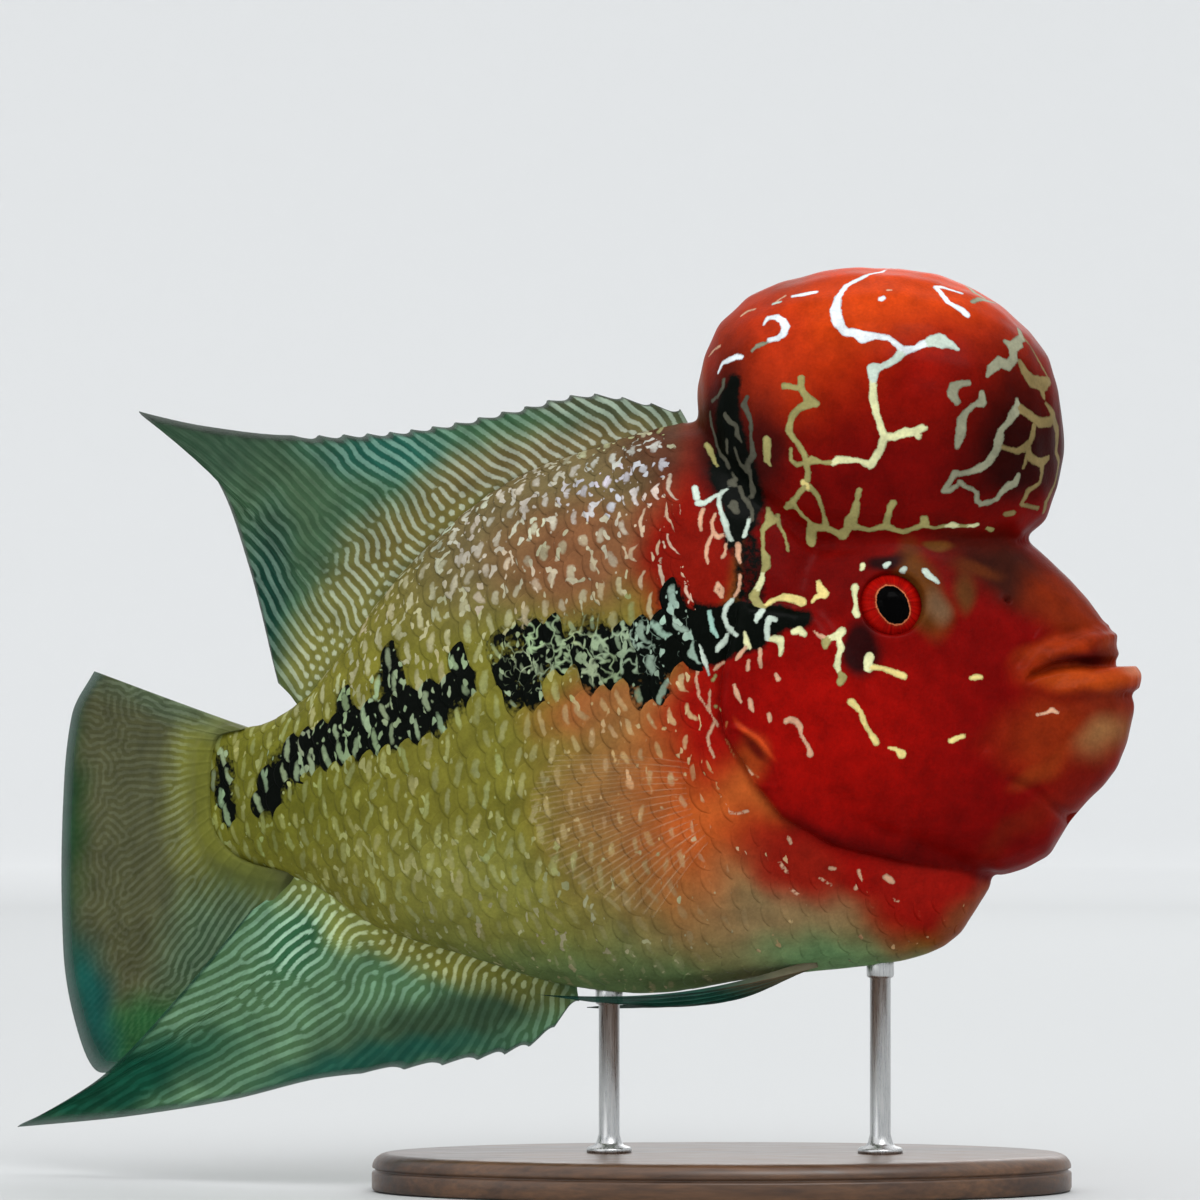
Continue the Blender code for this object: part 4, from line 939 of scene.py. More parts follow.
def scale_marks(tree, place_node, covered, ink_cover, tone):
    """Cover of the spots of the scales, the small marks between them, and the crooked veins on black."""
    nodes = tree.nodes
    warp = noise(nodes, 2.2, 0.5, 0.5)
    wandering = vector_math(nodes, "SUBTRACT", (0.5, 0.5, 0.5))
    marbling = read_attribute(nodes, "marbling")
    shares_of = nodes.new("ShaderNodeSeparateXYZ")
    upright = nodes.new("ShaderNodeMapping")
    upright.inputs["Scale"].default_value = (1, 1, VEIN_UPRIGHT)
    marks = noise(nodes, 1.6, 0.5, 0.5)
    warped = vector_math(nodes, "MULTIPLY_ADD", (VEIN_WARP * MM, VEIN_WARP * MM, VEIN_WARP * MM))
    veins = nodes.new("ShaderNodeTexVoronoi")
    veins.feature = "DISTANCE_TO_EDGE"
    veins.inputs["Scale"].default_value = 1000 / VEIN_CELL
    uneven = remap(nodes, 0.3, 0.7, 0.05, -0.05)
    more_marks = math_node(nodes, "MULTIPLY_ADD", 0.30)
    marked = remap(nodes, 0.69, 0.73, 0, 1)
    from_vein = math_node(nodes, "ADD")
    vein_width = math_node(nodes, "MULTIPLY_ADD", 0.25, -0.12)
    inside_vein = math_node(nodes, "SUBTRACT")
    veined = remap(nodes, -0.05, 0.05, 0, 1)
    on_black = math_node(nodes, "MULTIPLY")
    marble = math_node(nodes, "MAXIMUM")
    either = math_node(nodes, "MAXIMUM")
    spots = math_node(nodes, "MULTIPLY")
    wire(
        tree,
        ((place_node, "Object"), (warp, "Vector")),
        ((warp, "Color"), (wandering, 0)),
        ((place_node, "Object"), (upright, "Vector")),
        ((upright, "Vector"), (marks, "Vector")),
        ((wandering, "Vector"), (warped, 0)),
        ((upright, "Vector"), (warped, 2)),
        ((warped, "Vector"), (veins, "Vector")),
        ((marbling, "Vector"), (shares_of, "Vector")),
        ((shares_of, "X"), (more_marks, 0)),
        ((marks, "Fac"), (more_marks, 2)),
        ((more_marks, "Value"), (marked, "Value")),
        ((warp, "Fac"), (uneven, "Value")),
        ((veins, "Distance"), (from_vein, 0)),
        ((uneven, "Result"), (from_vein, 1)),
        ((shares_of, "Y"), (vein_width, 0)),
        ((vein_width, "Value"), (inside_vein, 0)),
        ((from_vein, "Value"), (inside_vein, 1)),
        ((inside_vein, "Value"), (veined, "Value")),
        ((veined, "Result"), (on_black, 0)),
        ((ink_cover, "Result"), (on_black, 1)),
        ((marked, "Result"), (marble, 0)),
        ((on_black, "Value"), (marble, 1)),
        ((covered(spot_inside(tree, wandering), "Value", 0.4, 0.65), "Result"), (spots, 0)),
        ((tone, "Alpha"), (spots, 1)),
        ((spots, "Value"), (either, 0)),
        ((marble, "Value"), (either, 1)),
    )
    return either


def painted_skin(name, bump_mm, roughness, scaled=False):
    """Airbrushed and brushed skin under a clear varnish. On scales, pearly spots take the strokes' place."""
    material, tree, nodes, shader = new_finish(name)
    ground = read_attribute(nodes, "ground")
    ink = read_attribute(nodes, "ink")
    place_node = nodes.new("ShaderNodeTexCoord")
    mottle = noise(nodes, 5, 4, 0.6)
    grain = noise(nodes, 0.7, 2, 0.5)
    edge = noise(nodes, 1.1, 1, 0.5) if scaled else noise(nodes, 1.8, 4, 0.7)
    for node in (mottle, grain, edge):
        wire(tree, ((place_node, "Object"), (node, "Vector")))

    mottle_share = remap(nodes, 0.3, 0.7, 0.80, 1.22)
    grain_share = remap(nodes, 0.25, 0.75, 0.90, 1.10)
    shares = math_node(nodes, "MULTIPLY")
    tinted = mixer(nodes, "MULTIPLY")
    tinted.inputs[0].default_value = 1
    wire(
        tree,
        ((mottle, "Fac"), (mottle_share, "Value")),
        ((grain, "Fac"), (grain_share, "Value")),
        ((mottle_share, "Result"), (shares, 0)),
        ((grain_share, "Result"), (shares, 1)),
        ((ground, "Color"), (tinted, MIX_A)),
        ((shares, "Value"), (tinted, MIX_B)),
    )

    def covered(field, output, spread, soft):
        """Cover of a field that is positive inside, with an edge that wanders by spread."""
        wobble = remap(nodes, 0.3, 0.7, -spread, spread)
        total = math_node(nodes, "ADD")
        cover = remap(nodes, -soft, soft, 0, 1)
        wire(
            tree,
            ((edge, "Fac"), (wobble, "Value")),
            ((field, output), (total, 0)),
            ((wobble, "Result"), (total, 1)),
            ((total, "Value"), (cover, "Value")),
        )
        return cover

    ink_cover = covered(ink, "Fac", 0.6, 0.7)
    inked = mixer(nodes)
    inked.inputs[MIX_B].default_value = INK_COLOUR
    lined = mixer(nodes)
    tone_grain = mixer(nodes, "MULTIPLY")
    tone_grain.inputs[0].default_value = 1
    if scaled:
        tone = read_attribute(nodes, "spot_tone")
        tone_shares = shares
        marks = scale_marks(tree, place_node, covered, ink_cover, tone)
        wire(tree, ((marks, "Value"), (lined, 0)))
    else:
        tone = read_attribute(nodes, "line_tone")
        lines = read_attribute(nodes, "lines")
        wire(tree, ((covered(lines, "Fac", 0.26, 0.12), "Result"), (lined, 0)))
        body_of_line = remap(nodes, 0.0, 0.4, 0.7, 1.15)
        shares_of_line = math_node(nodes, "MULTIPLY")
        wire(
            tree,
            ((lines, "Fac"), (body_of_line, "Value")),
            ((body_of_line, "Result"), (shares_of_line, 0)),
            ((shares, "Value"), (shares_of_line, 1)),
        )
        tone_shares = shares_of_line
    wire(
        tree,
        ((ink_cover, "Result"), (inked, 0)),
        ((tinted, MIX_OUT), (inked, MIX_A)),
        ((tone, "Color"), (tone_grain, MIX_A)),
        ((tone_shares, "Value"), (tone_grain, MIX_B)),
        ((inked, MIX_OUT), (lined, MIX_A)),
        ((tone_grain, MIX_OUT), (lined, MIX_B)),
        ((lined, MIX_OUT), (shader, "Base Color")),
    )

    add_relief(tree, shader, grain, mottle, bump_mm, (roughness - 0.06, roughness + 0.08))
    varnish(shader, 0.015, 0.22, 0.025)
    return material


skin_mesh.materials.clear()
skin_mesh.materials.append(painted_skin("painted_skin", 0.12, 0.38))

# Scales. The real ones are thin plates set in the skin like roof tiles, each free at its rear edge and
# carrying a pearly spot. On the model each is a small wedge of resin bedded in the cast skin. Rows run along
# the body, counted by arc length from the lateral line, and every other column is half a row higher.
SCALE_PITCH = smooth_curve(((-95, 3.5), (-60, 4.1), (0, 4.5), (45, 4.7), (100, 4.2)))
ROW_GAP = smooth_curve(((-95, 4.4), (-60, 5.7), (-20, 6.7), (45, 7.0), (100, 5.4)))
LATERAL_LINE = smooth_curve(((-95, 94), (-60, 108), (-30, 119), (0, 128), (35, 138), (60, 142), (100, 142)))
SCALED_FROM = 98.0
SCALED_TO = -90.5
SCALE_HEIGHT = 0.23  # of the free edge over the skin
SCALE_BED = -0.3
FRONT_HEIGHT = -0.12  # of the front edge, which lies in the skin
SCALE_FRONT = 1.15  # how far the front edge lies ahead of the scale's middle, in pitches
SCALE_REAR = 0.62
SCALE_WAIST = 0.5  # where the sides end and the round rear edge starts, behind the middle's line
SECTION_RAYS = 121
TRUNK_ARC = 210.0  # unrolled height of one side, which fills the height of the map for its colours
MAP_WIDTH = 0.46  # of one side in that map
SCALE_IN_MAP = 0.0003  # size of a scale's millimetre in that map
MOST_ROWS = 12
ALONG = np.array((0, 0.28, 0.5, 0.68, 0.82, 0.92, 1.0))
ACROSS = 11
RIM_DROP = 0.045

# Pearly spots: half length and half width in mm, lean in degrees (top towards the tail), bend, colour and
# strength, brushed over one another like the patches of the skin
SPOTS = (
    ((2.90, 0.70, -20, 0.15, 0.30, 0.31, 0.12, 0.80), (400, 800), (900, 900), 0, 0.2),
    ((2.30, 0.60, -12, 0.20, 0.27, 0.29, 0.10, 0.70), (250, 800), (100, 110), 0, 0.6),
    ((2.00, 0.75, -10, 0.30, 0.38, 0.36, 0.21, 0.90), (420, 590), (160, 75), -35, 0.5),
    ((1.90, 0.85, -25, 0.30, 0.36, 0.44, 0.35, 0.95), (425, 515), (75, 34), -35, 0.6),
    ((1.60, 0.72, -25, 0.30, 0.42, 0.39, 0.32, 0.95), (555, 520), (115, 65), -22, 0.5),
    ((1.40, 0.72, -20, 0.30, 0.46, 0.46, 0.49, 0.95), (635, 485), (75, 34), -24, 0.5),
    ((1.70, 0.80, -20, 0.30, 0.42, 0.37, 0.25, 0.80), (565, 570), (72, 42), -10, 0.6),
    ((3.40, 0.40, -6, 3.00, 0.52, 0.38, 0.26, 1.00), (682, 545), (48, 75), 0, 0.4),
    ((3.20, 0.42, 4, 2.40, 0.50, 0.38, 0.20, 1.00), (690, 695), (38, 48), 0, 0.5),
    ((2.40, 0.70, 10, 0.60, 0.50, 0.35, 0.17, 0.85), (620, 715), (75, 28), -4, 0.6),
    ((1.60, 0.60, 0, 0.20, 0.48, 0.31, 0.15, 0.70), (640, 790), (95, 75), 0, 0.6),
    ((1.30, 0.50, -20, 0.40, 0.52, 0.35, 0.20, 0.45), (740, 850), (70, 60), 0, 0.6),
    ((2.40, 0.70, 15, 0.20, 0.33, 0.31, 0.18, 0.25), (660, 930), (230, 50), 0, 0.7),
    ((0.90, 0.40, 0, 0.00, 0.50, 0.30, 0.15, 0.08), (890, 900), (130, 90), 0, 0.6),
)
# On black the spots are green-white, and brighter towards the head
BLACK_SPOT = (
    ((2.70, 0.66, -4, 0.30, 0.24, 0.31, 0.18, 0.95), (300, 750), (900, 900), 0, 0.2),
    ((1.20, 0.40, 8, 0.60, 0.27, 0.34, 0.20, 0.50), (560, 650), (90, 90), 0, 0.3),
    ((3.00, 0.80, 8, 1.20, 0.30, 0.42, 0.33, 1.00), (690, 630), (62, 70), 0, 0.4),
)
# Shares of small round marks and of fine crooked veins between the spots
MARBLING = (
    ((0.05, 0.00), (400, 800), (900, 900), 0, 0.2),
    ((0.34, 0.00), (560, 500), (160, 62), -24, 0.5),
    ((0.36, 0.00), (430, 560), (110, 60), -35, 0.5),
    ((0.10, 0.74), (572, 648), (98, 50), 0, 0.35),
    ((0.32, 0.00), (380, 715), (110, 45), -28, 0.5),
    ((0.20, 0.00), (430, 880), (150, 60), 14, 0.6),
    ((0.00, 0.00), (695, 550), (48, 75), 4, 0.4),
    ((0.26, 0.22), (690, 628), (50, 40), 0, 0.4),
    ((0.00, 0.00), (700, 790), (90, 110), 0, 0.6),
    ((0.00, 0.00), (860, 890), (150, 70), 10, 0.5),
)


def body_section(tree, x, sign):
    """Points round one side of the body at x, belly to back, and their arc length from the lateral line."""
    height = LATERAL_LINE(x)
    middle = place(x, 0.0, height)
    points = []
    for angle in np.linspace(-math.pi / 2, math.pi / 2, SECTION_RAYS):
        aim = place(x, sign * math.cos(angle), height + math.sin(angle)) - middle
        hit = tree.ray_cast(Vector(middle), Vector(aim))[0]
        if hit is None:
            hit = tree.find_nearest(Vector(middle + aim * 10))[0]
        points.append(np.array(hit))
    points = np.array(points)
    arc = np.concatenate([[0], np.cumsum(np.linalg.norm(np.diff(points, axis=0), axis=1))]) / MM
    return points, arc - arc[SECTION_RAYS // 2]


def point_at_arc(section, arc):
    points, lengths = section
    return np.array([np.interp(arc, lengths, points[:, axis]) for axis in range(3)])


def scale_roots(tree, sign):
    """Middle, rearward direction, x, row and arc of every scale of one side."""
    columns = [SCALED_FROM]
    while columns[-1] > SCALED_TO + 2:
        columns.append(columns[-1] - float(SCALE_PITCH(columns[-1])) / 2)
    sections = [body_section(tree, x, sign) for x in columns]
    roots = []
    for number, x in enumerate(columns):
        ahead = max(number - 2, 0)
        behind = min(number + 2, len(columns) - 1)
        half = 0.5 * (number % 2)
        low, high = sections[number][1][[0, -1]]
        gap = float(ROW_GAP(x))
        for row in range(-MOST_ROWS, MOST_ROWS):
            arc = (row + half) * 2 * gap
            if not low + 0.2 * gap < arc < high - 0.2 * gap:
                continue
            middle = point_at_arc(sections[number], arc)
            front = point_at_arc(sections[ahead], (row + half) * 2 * float(ROW_GAP(columns[ahead])))
            rear = point_at_arc(sections[behind], (row + half) * 2 * float(ROW_GAP(columns[behind])))
            roots.append((middle, rear - front, x, row + half, arc))
    return roots


def scale_outline(pitch, gap):
    """Grid of (a, b) over one scale in millimetres: a runs to the rear and b up."""
    across = np.sin(np.linspace(-1, 1, ACROSS) * math.pi / 2 * 0.97) / math.sin(math.pi / 2 * 0.97)
    w, t = np.meshgrid(across, ALONG)
    rear_round = np.clip(1 - np.abs(w) ** 2.3, 0, 1) ** 0.56
    rear = pitch * ((SCALE_WAIST + SCALE_REAR) * rear_round - SCALE_WAIST)
    front = pitch * (0.3 * w * w - SCALE_FRONT)
    b = 0.76 * gap * w * (0.86 + 0.14 * t)
    return front + (rear - front) * t, b, w, t


def build_scales(name, tree, sign, chance):
    """One joined mesh of closed scales for one side of the body."""
    rows, cols = len(ALONG), ACROSS
    count = rows * cols
    all_points, all_uvs, at, spot_at, spot_tones = [], [], [], [], []
    for middle, rearward, x, row, arc in scale_roots(tree, sign):
        where, normal, _, _ = tree.find_nearest(Vector(middle))
        middle = np.array(where)
        fish_x, fish_side, fish_z = fish_measure(middle)
        behind_head = float(behind_line(np.array(fish_x), np.array(fish_z), HEAD_START))
        under_head = float(smooth_step(fish_x, 46, 60))
        if behind_head < 1.6 + 1.6 * under_head:
            continue
        normal = np.array(normal)
        a_axis = rearward - normal * (rearward @ normal)
        a_axis /= np.linalg.norm(a_axis)
        b_axis = np.cross(a_axis, normal)
        b_axis *= 1 if b_axis[2] > 0 or abs(b_axis[2]) < 0.2 and b_axis[1] * sign < 0 else -1
        pitch, gap = float(SCALE_PITCH(x)), float(ROW_GAP(x))
        a, b, w, t = scale_outline(pitch, gap)
        breast = float(smooth_step(fish_x, 12, 36) * (1 - smooth_step(fish_z, 98, 120)))
        belly = float(1 - smooth_step(fish_z, 58, 78))
        relief = float(smooth_step(behind_head, 0, 9)) * (1 - 0.9 * max(breast, 0.8 * belly))
        relief *= 0.85 + 0.3 * chance.random()
        rise = SCALE_HEIGHT * (0.06 + 0.94 * relief)
        share = (a / pitch + SCALE_FRONT) / (SCALE_FRONT + SCALE_REAR)
        height = FRONT_HEIGHT + (rise - FRONT_HEIGHT) * share ** 1.1
        rim = (t > 0.99) | (np.abs(w) > 0.99)
        height = np.where(rim, height - RIM_DROP * relief, height)
        flat = middle + (a[..., None] * a_axis + b[..., None] * b_axis) * MM
        landed = [tree.find_nearest(Vector(point))[:2] for point in flat.reshape(-1, 3)]
        on = np.array([where for where, _ in landed])
        out = np.array([normal for _, normal in landed])
        up = height.ravel()
        if behind_head < 12 and (out @ normal).min() < 0.8 - 0.2 * (1 - under_head):
            continue
        if behind_head < 9:
            on_x, _, on_z = fish_measure(on)
            point_behind = behind_line(on_x, on_z, HEAD_START)
            clear = smooth_step(point_behind, 0.3 + under_head, 2.2 + 3 * under_head)
            up = SCALE_BED * 0.6 + (up - SCALE_BED * 0.6) * clear
        all_points.append(np.concatenate([on + out * up[:, None] * MM, on + out * SCALE_BED * MM]))
        u_root = (0.02 if sign < 0 else 0.52) + MAP_WIDTH * (SCALED_FROM - x) / (SCALED_FROM - SCALED_TO)
        v_root = 0.5 + 0.96 * arc / TRUNK_ARC
        patch = np.stack([u_root + a.ravel() * SCALE_IN_MAP, v_root + b.ravel() * SCALE_IN_MAP], axis=1)
        all_uvs.append(np.concatenate([patch, patch]))

        # Its pearly spot
        u, v = drifted_place(np.array([fish_x]), np.array([sign * abs(fish_side)]), np.array([fish_z]))
        spot = airbrushed(u, v, SPOTS)[0]
        at.append(middle)
        spot_at.append((a.ravel(), b.ravel(), pitch))
        spot_tones.append((spot, airbrushed(u, v, BLACK_SPOT)[0]))
    points = np.array(all_points)
    roots_at = np.array(at)
    depth = ink_depth(roots_at, tree)
    spot_field = np.zeros((len(points), 2 * count, 3))
    tone_field = np.zeros((len(points), 2 * count, 4))
    for i, ((a, b, pitch), (spot, black_spot)) in enumerate(zip(spot_at, spot_tones)):
        on_black = float(smooth_step(depth[i], -0.6, 0.4))
        spot = spot + (black_spot - spot) * on_black
        size = 0.78 + 0.42 * chance.random()
        half_length = spot[0] * size * (0.9 + 0.2 * chance.random())
        half_width = spot[1] * (0.8 + 0.4 * chance.random())
        lean = math.radians(spot[2] + 12 * chance.standard_normal())
        off_a = a - pitch * (0.1 + 0.12 * chance.standard_normal())
        off_b = b - 0.35 * chance.standard_normal()
        across = (off_a * math.cos(lean) - off_b * math.sin(lean)) / half_width
        along = (off_a * math.sin(lean) + off_b * math.cos(lean)) / half_length
        bend = spot[3] * (0.7 + 0.6 * chance.random())
        field = np.stack([across, along, np.full(count, bend)], axis=1)
        bare = chance.random() < 0.04 + 0.1 * on_black
        shown = 0.0 if bare else spot[7] * (0.75 + 0.25 * chance.random())
        tone = spot[4:7] * (0.82 + 0.36 * chance.random()) * (1 + 0.03 * chance.standard_normal(3))
        spot_field[i] = np.concatenate([field, field])
        tone_field[i] = (*tone, shown)
    flat_points = points.reshape(-1, 3)
    x, side, z = fish_measure(flat_points)
    ground = ground_colour(x, side, z)
    ground *= np.repeat(0.9 + 0.2 * chance.random(len(points)), 2 * count)[:, None]
    ink = 0.62 * np.repeat(depth, 2 * count) + 0.38 * ink_depth(flat_points, tree)

    quads = []
    for r in range(rows - 1):
        for c in range(cols - 1):
            corner = r * cols + c
            quads.append((corner, corner + 1, corner + cols + 1, corner + cols))
    rim_loop = list(range(cols))
    rim_loop += [r * cols + cols - 1 for r in range(1, rows)]
    rim_loop += [(rows - 1) * cols + c for c in range(cols - 2, -1, -1)]
    rim_loop += [r * cols for r in range(rows - 2, 0, -1)]
    for here, after in zip(rim_loop, rim_loop[1:] + rim_loop[:1]):
        quads.append((after, here, here + count, after + count))
    quads = np.array(quads)
    under = np.array([count + i for i in rim_loop[::-1]])
    faces = []
    for i in range(len(points)):
        start = i * 2 * count
        faces += (quads + start).tolist()
        faces.append((under + start).tolist())
    mesh = bpy.data.meshes.new(name)
    mesh.from_pydata(flat_points.tolist(), [], faces)
    add_colour(mesh, "ground", ground)
    add_value(mesh, "ink", ink)
    marbling = np.zeros((len(x), 3))
    marbling[:, :2] = airbrushed(*drifted_place(x, side, z), MARBLING)
    add_vector(mesh, "marbling", marbling)
    add_vector(mesh, "spot_at", spot_field)
    add_colour(mesh, "spot_tone", tone_field.reshape(-1, 4))
    corners = np.empty(len(mesh.loops), np.int64)
    mesh.loops.foreach_get("vertex_index", corners)
    uvs = np.concatenate(all_uvs)
    mesh.uv_layers.new(name="OFBake").data.foreach_set("uv", uvs[corners].ravel().astype(np.float32))
    shape = bmesh.new()
    shape.from_mesh(mesh)
    loose = [vertex for vertex in shape.verts if not vertex.link_faces]
    bmesh.ops.delete(shape, geom=loose, context="VERTS")
    bmesh.ops.recalc_face_normals(shape, faces=shape.faces)
    shape.to_mesh(mesh)
    shape.free()
    mesh.shade_smooth()
    return mesh, len(points)


def new_piece(name, mesh, material, slot, *replaced):
    """Puts a finished mesh in the scene in place of the modelled solids it covers."""
    mesh.materials.append(material)
    piece = into_scene(name, mesh)
    if replaced:
        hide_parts(*replaced)
    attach(piece, "root")
    return piece


skin_tree_now = skin_tree(skin_mesh)
for name, sign in (("scales_right", -1), ("scales_left", 1)):
    scale_mesh, scale_count = build_scales(name, skin_tree_now, sign, np.random.default_rng(21 + sign))
    triangles = sum(len(face.vertices) - 2 for face in scale_mesh.polygons)
    print(name, scale_count, "scales", triangles, "triangles")
    new_piece(name, scale_mesh, painted_skin(name, 0.1, 0.4, scaled=True), "olive_skin")

# Eyes. The real eye is a wet ball with a bulging black pupil, a thin gold ring and a red iris. The model's
# are cast glass set in the sockets, each a dome with a flat back, painted from inside.
PUPIL_HALF = (3.75, 4.9)
PUPIL_LEAN_DEG = 27.0
PUPIL_BULGE = 0.45
PUPIL_DROP = 0.55  # how far the pupil's middle lies below the iris's
EYE_RINGS = 44
EYE_SEGMENTS = 96
EYE_BACK = 1.2  # how far the flat back lies behind the rim
IRIS_SHADES = (
    # place, with the pupil's edge at 0.48, and colour
    (0.00, (0.001, 0.001, 0.001)), (0.462, (0.001, 0.001, 0.001)), (0.476, (0.48, 0.14, 0.06)),
    (0.494, (0.52, 0.13, 0.05)), (0.510, (0.24, 0.01, 0.004)), (0.58, (0.30, 0.003, 0.002)),
    (0.72, (0.34, 0.004, 0.002)), (0.86, (0.22, 0.002, 0.001)), (1.00, (0.10, 0.001, 0.001)),
)


def closed_mesh(name, points, faces):
    mesh = bpy.data.meshes.new(name)
    mesh.from_pydata([tuple(p) for p in points], [], faces)
    shape = bmesh.new()
    shape.from_mesh(mesh)
    bmesh.ops.recalc_face_normals(shape, faces=shape.faces)
    shape.to_mesh(mesh)
    shape.free()
    mesh.shade_smooth()
    return mesh


def colour_ramp(nodes, shades):
    """A ramp through pairs of a place and its colour."""
    node = nodes.new("ShaderNodeValToRGB")
    elements = node.color_ramp.elements
    for i, (reached, shade) in enumerate(shades):
        element = elements[i] if i < 2 else elements.new(reached)
        element.position = reached
        element.color = (*shade, 1)
    return node


def eye_glass():
    material, tree, nodes, shader = new_finish("eye_glass")
    at = read_attribute(nodes, "pupil_at")
    reach = vector_math(nodes, "LENGTH")
    ramp = colour_ramp(nodes, IRIS_SHADES)
    halved = math_node(nodes, "MULTIPLY", 0.48)
    around = vector_math(nodes, "NORMALIZE")
    streaks = noise(nodes, 1000 / 9, 5, 0.7)
    blur = noise(nodes, 1.4, 3, 0.6)
    shifted = remap(nodes, 0.3, 0.7, -0.02, 0.02)
    moved = math_node(nodes, "ADD")
    streak_share = remap(nodes, 0.3, 0.7, 0.55, 1.5)
    coloured = mixer(nodes, "MULTIPLY")
    coloured.inputs[0].default_value = 1
    place_node = nodes.new("ShaderNodeTexCoord")
    fine = noise(nodes, 0.5, 2, 0.5)
    wire(
        tree,
        ((at, "Vector"), (reach, "Vector")),
        ((reach, "Value"), (halved, 0)),
        ((place_node, "Object"), (blur, "Vector")),
        ((blur, "Fac"), (shifted, "Value")),
        ((halved, "Value"), (moved, 0)),
        ((shifted, "Result"), (moved, 1)),
        ((moved, "Value"), (ramp, "Fac")),
        ((at, "Vector"), (around, "Vector")),
        ((around, "Vector"), (streaks, "Vector")),
        ((streaks, "Fac"), (streak_share, "Value")),
        ((ramp, "Color"), (coloured, MIX_A)),
        ((streak_share, "Result"), (coloured, MIX_B)),
        ((coloured, MIX_OUT), (shader, "Base Color")),
        ((place_node, "Object"), (fine, "Vector")),
    )
    add_relief(tree, shader, fine, fine, 0.02, (0.06, 0.14), 0.3)
    varnish(shader, 0.006, 0.04, 0.01)
    return material


eye_material = eye_glass()
for name, sign in (("glass_eye_right", -1), ("glass_eye_left", 1)):
    centre, forward, up, out = eye_frame(sign)
    lean = math.radians(PUPIL_LEAN_DEG)
    points, pupil_at, faces = [], [], []
    for ring in range(EYE_RINGS + 1):
        radius = EYE_RADIUS * 0.995 * ring / EYE_RINGS
        for i in range(EYE_SEGMENTS if ring else 1):
            angle = 2 * math.pi * i / EYE_SEGMENTS
            ahead, above = radius * math.cos(angle), radius * math.sin(angle)
            oval = np.array([
                (ahead * math.cos(lean) + (above + PUPIL_DROP) * math.sin(lean)) / PUPIL_HALF[0],
                ((above + PUPIL_DROP) * math.cos(lean) - ahead * math.sin(lean)) / PUPIL_HALF[1],
                0,
            ])
            reach = float(np.linalg.norm(oval))
            bulge = PUPIL_BULGE * float(1 - smooth_step(reach, 0.55, 1.02))
            height = float(eye_dome(radius)) + bulge
            points.append(centre + (ahead * forward + above * up + height * out) * MM)
            pupil_at.append(oval)
    rim = 1 + (EYE_RINGS - 1) * EYE_SEGMENTS
    for i in range(EYE_SEGMENTS):
        j = (i + 1) % EYE_SEGMENTS
        faces.append((0, 1 + i, 1 + j))
        for ring in range(EYE_RINGS - 1):
            inner = 1 + ring * EYE_SEGMENTS
            outer = inner + EYE_SEGMENTS
            faces.append((inner + i, outer + i, outer + j, inner + j))
    back = [centre + (points[rim + i] - centre) * 0.99 - out * EYE_BACK * MM for i in range(EYE_SEGMENTS)]
    for i in range(EYE_SEGMENTS):
        j = (i + 1) % EYE_SEGMENTS
        faces.append((rim + i, len(points) + i, len(points) + j, rim + j))
    faces.append(tuple(range(len(points) + EYE_SEGMENTS - 1, len(points) - 1, -1)))
    points += back
    pupil_at += [pupil_at[rim + i] for i in range(EYE_SEGMENTS)]
    eye_mesh = closed_mesh(name, points, faces)
    add_vector(eye_mesh, "pupil_at", pupil_at)
    new_piece(name, eye_mesh, eye_material, "eye", "eye_right" if sign < 0 else "eye_left")

# Fins of the back, belly and tail. The real ones are skin stretched over bony rays. On the model each is
# one thin casting with its rays raised on both faces, let into a slot of the body and flared at the root.
FIN_SINK = 3.5
SPINE_NOTCH = 1.3
RAY_BOW = 0.05
FIN_PATTERN_CELL = 0.42
MAZE_ROUNDS = 26
MARGIN_FROM = 0.90  # share of a ray's length at which the dark margin starts
TAIL_ROOT_SWELL = 4.0
TAIL_ROOT_REACH = 7.0
DORSAL_RAYS = (
    ((27.5, 184), (24, 187.5)), ((14.4, 181.5), (2.2, 191.3)), ((-1.9, 176.9), (-15.6, 187.7)),
    ((-15.6, 171.4), (-33.6, 183.8)), ((-28.1, 162.7), (-50.4, 181.9)), ((-38.4, 153.6), (-69.6, 181.4)),
    ((-45.6, 144.8), (-91.2, 183.8)), ((-51.6, 137), (-107.5, 187.5)), ((-56.4, 130), (-88.6, 171.4)),
    ((-61.2, 124), (-80.4, 150)), ((-66.5, 117.8), (-73.2, 121.5)),
)
ANAL_RAYS = (
    ((-1.2, 48.4), (-0.2, 45.2)), ((-7.2, 49.8), (-12, 34.4)), ((-13, 51.6), (-24, 31.2)),
    ((-21.6, 54.4), (-41, 28.8)), ((-30, 56.4), (-61, 26.6)), ((-38.6, 58.9), (-86, 20.2)),
    ((-46.8, 61.6), (-115.5, 15)), ((-52.8, 64.8), (-138, 12.4)), ((-56.4, 68.2), (-118.5, 24)),
    ((-61, 71.8), (-97, 46)), ((-66, 75.5), (-80, 66)),
)
TAIL_RAYS = (
    ((-83.5, 110.4), (-120, 124)), ((-89.4, 108.4), (-126, 113)), ((-90.6, 102), (-128, 97)),
    ((-90.6, 95), (-128.6, 76)), ((-90.2, 88), (-128, 55)), ((-87.5, 82), (-125, 37.5)),
    ((-82, 78), (-118, 25)), ((-71.5, 75.6), (-99, 27)),
)
